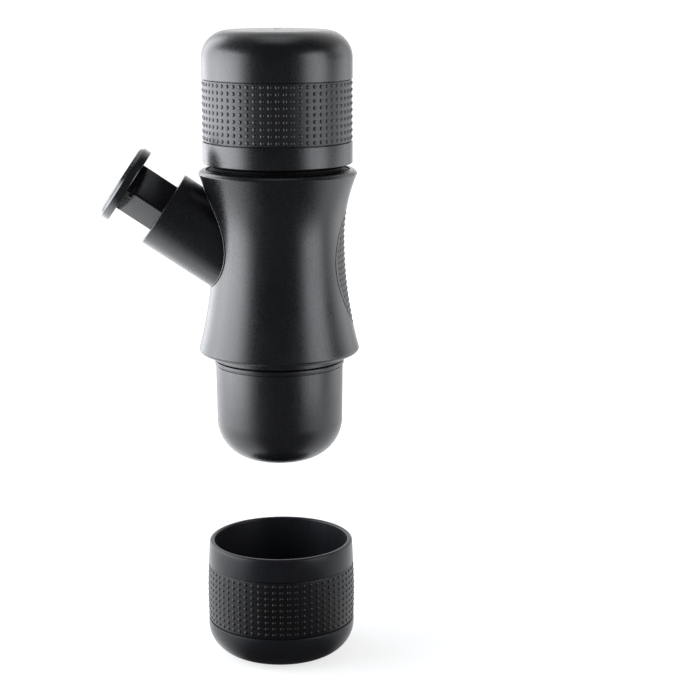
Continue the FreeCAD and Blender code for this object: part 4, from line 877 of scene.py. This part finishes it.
class ESPRESSO_OT_casing(bpy.types.Operator):
    """Waisted casing in one moulding with the pump's arm"""
    bl_idname = "espresso.casing"
    bl_label = "Casing"
    bl_options = {"REGISTER", "UNDO"}

    def execute(self, context):
        form, finish = settings(context)
        mouth_round, recess_depth, recess_past = 0.35 * MM, 1.2 * MM, 2 * MM
        casing = lathe("casing", casing_outside(form), form.lathe_steps)
        arm = lathe("arm", [(0, 0), (form.arm_radius, 0), (form.arm_radius, MOUTH, mouth_round),
                            (0, MOUTH)], ARM_STEPS)
        shaped(casing, on_pump(arm), "UNION")
        hollow = lathe("casing_hollow", casing_inside(form), form.lathe_steps)
        shaped(casing, hollow, "DIFFERENCE")
        shaped(casing, on_pump(lathe("arm_bore", arm_bore(form), ARM_STEPS)), "DIFFERENCE")
        recess = leaf_block("leaf_recess", form, 0, -recess_depth, recess_past)
        shaped(casing, recess, "DIFFERENCE")
        soften(casing.data, 30)
        casing = joined("casing", [casing, arm_bead(form)])
        finish_piece(casing, "machine", finish["casing"], "main_shell")
        return {"FINISHED"}


class ESPRESSO_OT_side_grip(bpy.types.Operator):
    """Leaf-shaped rubber pad with raised dots"""
    bl_idname = "espresso.side_grip"
    bl_label = "Side Grip Pad"
    bl_options = {"REGISTER", "UNDO"}

    def execute(self, context):
        form, finish = settings(context)
        pad = leaf_block("side_pad", form, form.pad_groove, -form.band_depth, -form.pad_sunk)
        dots = dots_on("side_dots", self.dot_places(form), form, form.pad_dots)
        piece = joined("side_pad", [pad, dots])
        finish_piece(piece, "machine", finish["rubber"], "side_grip_pad")
        return {"FINISHED"}

    def dot_places(self, form):
        """Dots in a square grid that keep off the leaf's border."""
        pitch, tip_border, side_border = 2.3 * MM, 2.2 * MM, 1.2 * MM
        low, high = node_box("side_grip_pad")
        middle = (high.z + low.z) / 2
        half_height, half_width = (high.z - low.z) / 2 - tip_border, high.y - side_border
        rows = int(half_height // pitch)
        places = []
        for row in range(-rows, rows + 1):
            climb = row * pitch
            level = middle + climb
            radius = flank_radius(form, level) - form.pad_sunk
            slope = (flank_radius(form, level + MM) - flank_radius(form, level - MM)) / (2 * MM)
            count = int(leaf_width(half_height, half_width, climb) // pitch)
            for column in range(-count, count + 1):
                turn = column * pitch / radius
                outwards = Vector((math.cos(turn), math.sin(turn), -slope)).normalized()
                across = Vector((-math.sin(turn), math.cos(turn), 0))
                centre = Vector((radius * math.cos(turn), radius * math.sin(turn), level))
                places.append((centre, across, outwards.cross(across), outwards))
        return places


# ---------------------------------------------------------------- pump

def stem_bar(form, foot, top):
    """Square bar with rounded corners, its end slightly bevelled."""
    corner, edge, end_share = 0.85 * MM, 0.15 * MM, 0.988
    reach = (form.stem_flats / 2 - corner) / math.sqrt(0.5)
    section = []
    for middle in circle(4):
        for step in range(-3, 4):
            turn = middle + math.pi / 12 * step
            section.append((reach * math.cos(middle) + corner * math.cos(turn),
                            reach * math.sin(middle) + corner * math.sin(turn)))
    levels = [(foot, 1), (top - edge, 1), (top, end_share)]
    vertices = [(x * size, y * size, level) for level, size in levels for x, y in section]
    return solid("stem", vertices, ring_faces(len(section), len(levels)), 38)


def lock_lug(side, top):
    """Small lock lug on one corner of the stem, its outer edges bevelled."""
    half, height, near, far, bevel = 2.1 * MM, 1.2 * MM, 8.2 * MM, 11.4 * MM, 0.25 * MM
    section = [(-half, near), (half, near), (half, far - bevel), (half - bevel, far),
               (bevel - half, far), (-half, far - bevel)]
    vertices = [(x, y * side, level) for level in (top - height, top) for x, y in section]
    return solid(f"lug_{side}", vertices, ring_faces(len(section), 2), 30)


class ESPRESSO_OT_pump(bpy.types.Operator):
    """Knob, its cap and the square stem"""
    bl_idname = "espresso.pump"
    bl_label = "Knob and Stem"
    bl_options = {"REGISTER", "UNDO"}

    def execute(self, context):
        finish = finishes()
        pieces = ((self.knob(), finish["knob"], "casing_plastic", "push_knob"),
                  (self.cap(), finish["knob"], "casing_plastic", "knob_cap"),
                  (self.stem(context.scene.espresso_form), finish["stem"], "stem_plastic",
                   "piston_stem"))
        for piece, material, slot, node in pieces:
            finish_piece(on_pump(piece), "knob", material, node)
        return {"FINISHED"}

    def knob(self):
        """Disc with a rounded back, and a chamfered rim round the sunk seat of its cap."""
        back_round, side_round, face_round, seat_round = 0.55 * MM, 0.3 * MM, 0.15 * MM, 0.1 * MM
        chamfer_rise, chamfer_depth, rim, sunk = 0.75 * MM, 0.55 * MM, 1 * MM, 0.35 * MM
        foot, top = pump_stations("push_knob")
        radius = pump_reach("push_knob")
        return lathe("knob", [
            (0, foot), (radius, foot, back_round), (radius, top - chamfer_rise, side_round),
            (radius - chamfer_depth, top, face_round), (radius - rim, top, seat_round),
            (radius - rim, top - sunk), (0, top - sunk)], KNOB_STEPS)

    def cap(self):
        """Thin disc, crowned towards its middle."""
        foot_inset, foot_depth, side_rise = 0.2 * MM, 0.3 * MM, 0.15 * MM
        slope, fall, flat_inset = 0.6 * MM, 0.08 * MM, 2.5 * MM
        side_round, slope_round, flat_round = 0.1 * MM, 0.3 * MM, 0.2 * MM
        seat = pump_stations("push_knob")[1]
        top, radius = pump_stations("knob_cap")[1], pump_reach("knob_cap")
        return lathe("knob_cap_disc", [
            (0, seat - foot_depth), (radius - foot_inset, seat - foot_depth),
            (radius, seat + side_rise, side_round), (radius - slope, top - fall, slope_round),
            (radius - flat_inset, top, flat_round), (0, top)], KNOB_STEPS)

    def stem(self, form):
        """Bar with the pivot that turns in the piston head, and the two lugs under the knob."""
        pivot, pivot_round, play, lug_drop = 4.05 * MM, 0.3 * MM, 0.1 * MM, 1.4 * MM
        overlap, knob_gap = 1 * MM, 0.02 * MM
        pivot_foot, foot = pump_stations("piston_stem")[0], pump_stations("piston_head")[1] + play
        knob_foot = pump_stations("push_knob")[0]
        bar = stem_bar(form, foot, knob_foot - knob_gap)
        pin = lathe("stem_pivot", [(0, pivot_foot), (pivot, pivot_foot, pivot_round),
                                   (pivot, foot + overlap), (0, foot + overlap)], PIN_STEPS)
        return joined("stem", [bar, pin] + [lock_lug(side, knob_foot - lug_drop)
                                            for side in (1, -1)])


class ESPRESSO_OT_return_spring(bpy.types.Operator):
    """Return spring with closed ends"""
    bl_idname = "espresso.return_spring"
    bl_label = "Return Spring"
    bl_options = {"REGISTER", "UNDO"}

    def execute(self, context):
        form, finish = settings(context)
        foot, top = pump_stations("return_spring")
        thick, turns, steps, closed_pitch = form.spring_wire, form.spring_turns, 40, 2.1
        radius = pump_reach("return_spring") - thick
        closed_rise = thick * closed_pitch
        open_rise = (top - foot - thick * 2 - closed_rise * 2) / (turns - 2)
        line = []
        for step in range(round(turns * steps) + 1):
            turn = step / steps
            closed = min(turn, 1) + max(turn - turns + 1, 0)
            level = foot + thick + closed * closed_rise + (turn - closed) * open_rise
            around = 2 * math.pi * turn
            line.append(Vector((radius * math.cos(around), radius * math.sin(around), level)))
        spring = on_pump(wire("return_coil", line, thick, False, 12))
        finish_piece(spring, "machine", finish["spring"], "return_spring")
        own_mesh(spring)
        return {"FINISHED"}


# ---------------------------------------------------------------- outlet head

class ESPRESSO_OT_outlet(bpy.types.Operator):
    """Domed outlet head with its inner thread"""
    bl_idname = "espresso.outlet"
    bl_label = "Outlet Head"
    bl_options = {"REGISTER", "UNDO"}

    def execute(self, context):
        form, finish = settings(context)
        nozzle, dome_wall, dome = 5.1 * MM, 2 * MM, form.dome_round
        rim_height, rim_proud, shadow_line, taper = 1.7 * MM, 0.45 * MM, 0.4 * MM, 0.25 * MM
        ledge_bore, ledge_drop, ledge_height, slope_drop = 20.4 * MM, 0.8 * MM, 2.2 * MM, 4.4 * MM
        boss_wall, thread_start, thread_climb = 2.9 * MM, 3.8 * MM, 3.6 * MM
        fine_round, step_round, slope_round = 0.2 * MM, 0.15 * MM, 0.5 * MM
        lip_outer_round, lip_inner_round = 0.4 * MM, 0.3 * MM
        rim = node_radius("outlet_head")
        upper = rim - rim_proud
        lower = upper - taper
        bore = node_radius("brew_boss") - boss_wall
        rim_foot = HEAD_TOP - rim_height
        dome_top, pole = HEAD_FOOT + dome, lower - dome
        inner, floor = lower - dome_wall, HEAD_FOOT + dome_wall
        ledge = node_box("filter_basket")[1].z - ledge_drop

        corners = [(nozzle, HEAD_FOOT, fine_round)]
        corners += bow((pole, HEAD_FOOT), (lower, dome_top), dome, 40)
        corners += [(lower, dome_top), (upper, rim_foot - shadow_line, step_round),
                    (upper - shadow_line, rim_foot - shadow_line),
                    (upper - shadow_line, rim_foot), (rim, rim_foot, fine_round),
                    (rim, HEAD_TOP, lip_outer_round), (bore, HEAD_TOP, lip_inner_round),
                    (bore, ledge), (ledge_bore, ledge, fine_round),
                    (ledge_bore, ledge - ledge_height, fine_round),
                    (inner, ledge - slope_drop, slope_round)]
        corners += bow((inner, dome_top), (pole, floor), dome_wall - dome, 24)
        corners += [(pole, floor), (nozzle, floor)]
        head = lathe("head", corners, form.lathe_steps)
        boss_foot = node_box("brew_boss")[0].z
        ridges = threads("head_thread", form, bore, -1, boss_foot + thread_start, thread_climb)
        piece = joined("head", [head, ridges])
        finish_piece(piece, "head", finish["head"], "outlet_head")
        return {"FINISHED"}


# ---------------------------------------------------------------- cup

def cup_band_radius(level):
    """Outside radius of the cup where its band lies, at a height."""
    low, high, bulge = 29.8 * MM, 29.65 * MM, 0.33 * MM
    foot, top = node_levels("cup_grip_band")
    along = (level - foot) / (top - foot)
    return low + (high - low) * along + bulge * 4 * along * (1 - along)


class ESPRESSO_OT_cup(bpy.types.Operator):
    """Cup with a rounded foot and lip"""
    bl_idname = "espresso.cup"
    bl_label = "Cup"
    bl_options = {"REGISTER", "UNDO"}

    def execute(self, context):
        form, finish = settings(context)
        bore, bore_step, floor, floor_radius = 27.1 * MM, 1 * MM, 3 * MM, 16 * MM
        lip, lip_rise, lip_taper = 29.1 * MM, 3 * MM, 0.35 * MM
        lip_outer_round, lip_inner_round, seam_share = 1 * MM, 0.7 * MM, 0.4
        foot, top = node_levels("cup_grip_band")
        low, high, seam = cup_band_radius(foot), cup_band_radius(top), form.seam_round
        let_in, wall_foot = low - form.band_depth, foot - seam * seam_share
        corners = [(0, 0)]
        corners += bow((form.cup_base, 0), (low, wall_foot), form.cup_round, 32)
        corners += [(low, foot, seam), (let_in, foot), (let_in, top), (high, top, seam),
                    (high - lip_taper, CUP_TOP - lip_rise), (lip, CUP_TOP, lip_outer_round),
                    (bore, CUP_TOP, lip_inner_round), (bore, foot + bore_step)]
        corners += bow((bore, foot), (floor_radius, floor), -form.cup_round, 24)
        corners += [(floor_radius, floor), (0, floor)]
        cup = lathe("cup", corners, form.lathe_steps)
        finish_piece(cup, "cup", finish["cup"], "cup_shell")
        return {"FINISHED"}


class ESPRESSO_OT_cup_band(bpy.types.Operator):
    """Rubber band with raised dots round the cup"""
    bl_idname = "espresso.cup_band"
    bl_label = "Cup Grip Band"
    bl_options = {"REGISTER", "UNDO"}

    def execute(self, context):
        form, finish = settings(context)
        margin, steps = 0.4 * MM, 12
        foot, top = node_levels("cup_grip_band")
        foot, top = foot + form.band_gap, top - form.band_gap
        back = cup_band_radius(foot) - form.band_depth

        def face(level):
            return cup_band_radius(level) - form.dot_floor

        levels = [foot + (top - foot) * i / steps for i in range(1, steps)]
        corners = [(back, foot), (face(foot), foot, form.seam_round)]
        corners += [(face(level), level) for level in levels]
        corners += [(face(top), top, form.seam_round), (back, top)]
        band = lathe("cup_band", corners, form.lathe_steps)
        places = band_places(face, foot + margin, top - margin, form)
        piece = joined("cup_band", [band, dots_on("cup_dots", places, form)])
        finish_piece(piece, "cup", finish["cup rubber"], "cup_grip_band")
        return {"FINISHED"}


# ---------------------------------------------------------------- inner pieces

INNER_FINISHES = {
    "seal": ("air_vent_valve", "pump_gasket", "piston_o_ring", "basket_gasket"),
    "socket": ("tank_socket",),
    "silicone": ("intake_tube", "inlet_valve", "outlet_valve"),
    "inner": ("valve_block", "pump_cylinder", "piston_head"),
    "stem": ("mouth_bush", "outlet_nozzle"),
    "head": ("brew_boss",),
    "screw": ("pump_screws", "knob_screw", "collar_screws", "block_screws"),
    "spring": ("stem_clip",),
    "steel": ("shower_screen", "filter_basket"),
}


class ESPRESSO_OT_inner(bpy.types.Operator):
    """Finishes of the pieces whose modelled shape stays"""
    bl_idname = "espresso.inner"
    bl_label = "Inner Pieces"
    bl_options = {"REGISTER", "UNDO"}

    def execute(self, context):
        for name, nodes in INNER_FINISHES.items():
            for node in nodes:
                NODES[node].data.materials.clear()
                NODES[node].data.materials.append(finishes()[name])
        return {"FINISHED"}


# ---------------------------------------------------------------- studio

SENSOR_WIDTH = 36
CLIP_START = 0.01
LAMP_COLOUR = (0.92, 0.95, 1.0)
WHITE = (1, 1, 1)
FLOOR_HALF = 12.0
TOP_SOFTBOX = (0, 0.05, 0.95)
# name, degrees round from the camera's side to the right, distance, foot, width and height
STANDING_SOFTBOXES = (
    ("left", -84, 0.5, -0.06, (0.9, 0.6)),
    ("rear", -134, 0.5, -0.06, (0.5, 0.8)),
    ("right", 60, 0.5, -0.06, (0.5, 0.6)),
    ("edge", 115, 0.5, -0.06, (0.5, 0.6)),
    ("back", 180, 0.9, -0.2, (1.2, 1.0)),
)


def softbox(name, place, aim, size, energy):
    """Rectangular lamp that fades towards its borders and that the camera doesn't see."""
    lamp = bpy.data.lights.new(name, "AREA")
    lamp.shape = "RECTANGLE"
    lamp.size, lamp.size_y = size
    lamp.energy = energy
    lamp.color = LAMP_COLOUR
    graph = Graph(lamp)
    spot = graph.node("NewGeometry", {}).outputs["Parametric"]
    across = graph.node("SeparateXYZ", {0: spot}).outputs
    middle, border, full = 0.5, 0.5, 1.4
    fades = []
    for axis, core in (("X", 0.12), ("Y", 0.3)):
        away = graph.maths("ABSOLUTE", graph.maths("SUBTRACT", across[axis], middle))
        fades.append(graph.ramp(away, core, border, full, 0))
    graph.put(graph.maths("MULTIPLY", *fades), graph.nodes["Emission"].inputs["Strength"])
    light = bpy.data.objects.new(name, lamp)
    light.visible_camera = False
    light.location = place
    light.rotation_euler = (Vector(aim) - Vector(place)).to_track_quat("-Z", "Y").to_euler()
    bpy.context.scene.collection.objects.link(light)


def floor_material():
    """Floor that keeps a soft shadow and shows as white to the camera. For reflections it glows as
    a painted reflection, white at the left and rear and dark in front."""
    material = bpy.data.materials.new("floor_white")
    graph = Graph(material, clear=True)
    place = graph.node("TexCoord", {}).outputs["Object"]
    away = graph.node("VectorMath", {0: place}, operation="LENGTH").outputs["Value"]
    around = graph.node("VectorMath", {0: place}, operation="NORMALIZE").outputs["Vector"]

    def toward(direction, low, high, strength):
        """Rises to a strength where a place lies in a direction from the machine's axis."""
        across = graph.node("VectorMath", {0: around, 1: direction}, operation="DOT_PRODUCT")
        return graph.ramp(across.outputs["Value"], low, high, 0, strength)

    seen = graph.ramp(away, 0.08, 0.5, 0.7, 1.0)
    left = toward((-0.9, 0.44, 0), 0.1, 0.85, 1.0)
    right = toward((0.8, 0.6, 0), 0.2, 0.9, 0.8)
    sides = graph.maths("MINIMUM", graph.maths("ADD", left, right), 1.0)
    path = graph.node("LightPath", {}).outputs
    camera, glossy = path["Is Camera Ray"], path["Is Glossy Ray"]
    # Glow seen only in reflections: a painted reflection, bright at the left and right rear and
    # dim in front.
    painted_reflection = graph.maths("MULTIPLY_ADD", sides, 0.92, 0.08)
    glow = graph.maths("ADD", graph.maths("MULTIPLY", camera, seen),
                       graph.maths("MULTIPLY", glossy, painted_reflection))
    # Reflections also see a floor colour that is lighter at the sides and darker in front: part of
    # the painted reflection.
    change = graph.maths("MULTIPLY_ADD", sides, 0.8, -0.35)
    tone = graph.maths("MULTIPLY_ADD", glossy, change, 0.35)
    diffuse = graph.node("BsdfDiffuse", {"Color": tone})
    white = graph.node("Emission", {"Color": WHITE, "Strength": glow})
    both = graph.node("AddShader", {0: diffuse.outputs[0], 1: white.outputs[0]})
    graph.node("OutputMaterial", {0: both.outputs[0]})
    return material


def studio_world():
    """White backdrop to the camera and behind the object in reflections, dim light otherwise."""
    world = bpy.data.worlds.new("studio")
    bpy.context.scene.world = world
    graph = Graph(world, clear=True)
    path = graph.node("LightPath", {}).outputs
    place = graph.node("TexCoord", {}).outputs["Generated"]
    depth = graph.node("SeparateXYZ", {0: place}).outputs["Y"]
    behind = graph.ramp(depth, -0.1, 0.9, 0.04, 1.0)
    glossy = graph.maths("MULTIPLY", path["Is Glossy Ray"], behind)
    diffuse = graph.maths("MULTIPLY", path["Is Diffuse Ray"], 0.3)
    clear = graph.maths("MAXIMUM", path["Is Camera Ray"], path["Is Transmission Ray"])
    strength = graph.maths("MAXIMUM", clear, graph.maths("MAXIMUM", glossy, diffuse))
    background = graph.node("Background", {"Color": WHITE, "Strength": strength})
    graph.node("OutputWorld", {0: background.outputs[0]})


class ESPRESSO_OT_studio(bpy.types.Operator):
    """Camera, lamps, floor and backdrop"""
    bl_idname = "espresso.studio"
    bl_label = "Studio"
    bl_options = {"REGISTER", "UNDO"}

    def execute(self, context):
        setup = context.scene.espresso_studio
        camera_data = bpy.data.cameras.new("camera")
        camera_data.sensor_width = SENSOR_WIDTH
        camera_data.lens = setup.lens
        camera_data.clip_start = CLIP_START
        camera = bpy.data.objects.new("camera", camera_data)
        camera.location = (0, -setup.camera_back, setup.camera_height)
        camera.rotation_euler = (math.pi / 2 - setup.camera_pitch, 0, -setup.camera_yaw)
        context.scene.collection.objects.link(camera)
        context.scene.camera = camera

        corners = [(x * FLOOR_HALF, y * FLOOR_HALF, 0)
                   for x, y in ((-1, -1), (1, -1), (1, 1), (-1, 1))]
        floor = solid("floor", corners, [(0, 1, 2, 3)])
        floor.data.materials.append(floor_material())

        for name, degrees, back, foot, size in STANDING_SOFTBOXES:
            turn, height = math.radians(degrees), foot + size[1] / 2
            place = (back * math.sin(turn), -back * math.cos(turn), height)
            softbox(f"{name}_softbox", place, (0, 0, height), size,
                    getattr(setup, f"{name}_power"))
        x, y, height = TOP_SOFTBOX
        softbox("top_softbox", (x, y, height), (x, y, 0), (0.6, 0.6), setup.top_power)
        studio_world()
        context.scene.view_settings.view_transform = "Standard"
        return {"FINISHED"}


# ---------------------------------------------------------------- add-on

OPERATORS = [
    ESPRESSO_OT_studio, ESPRESSO_OT_tank, ESPRESSO_OT_tank_band, ESPRESSO_OT_tank_seal,
    ESPRESSO_OT_casing, ESPRESSO_OT_side_grip, ESPRESSO_OT_pump, ESPRESSO_OT_return_spring,
    ESPRESSO_OT_outlet, ESPRESSO_OT_cup, ESPRESSO_OT_cup_band, ESPRESSO_OT_inner,
]
GROUPS = {
    "espresso_form": EspressoForm,
    "espresso_finish": EspressoFinish,
    "espresso_studio": EspressoStudio,
}


class ESPRESSO_PT_panel(bpy.types.Panel):
    """Lists the pieces and their settings"""
    bl_idname = "ESPRESSO_PT_panel"
    bl_label = "Hand Espresso Maker"
    bl_space_type = "VIEW_3D"
    bl_region_type = "UI"
    bl_category = "Espresso"

    def draw(self, context):
        for operator in OPERATORS:
            self.layout.operator(operator.bl_idname)
        for name, kind in GROUPS.items():
            box = self.layout.box()
            for setting in kind.__annotations__:
                box.prop(getattr(context.scene, name), setting)


def register():
    for name, group in GROUPS.items():
        bpy.utils.register_class(group)
        setattr(bpy.types.Scene, name, PointerProperty(type=group))
    for item in OPERATORS + [ESPRESSO_PT_panel]:
        bpy.utils.register_class(item)


def unregister():
    for item in reversed(OPERATORS + [ESPRESSO_PT_panel]):
        bpy.utils.unregister_class(item)
    for name, group in GROUPS.items():
        delattr(bpy.types.Scene, name)
        bpy.utils.unregister_class(group)


def main():
    register()
    for operator in OPERATORS:
        group, name = operator.bl_idname.split(".")
        getattr(getattr(bpy.ops, group), name)()


if __name__ == "__main__":
    main()
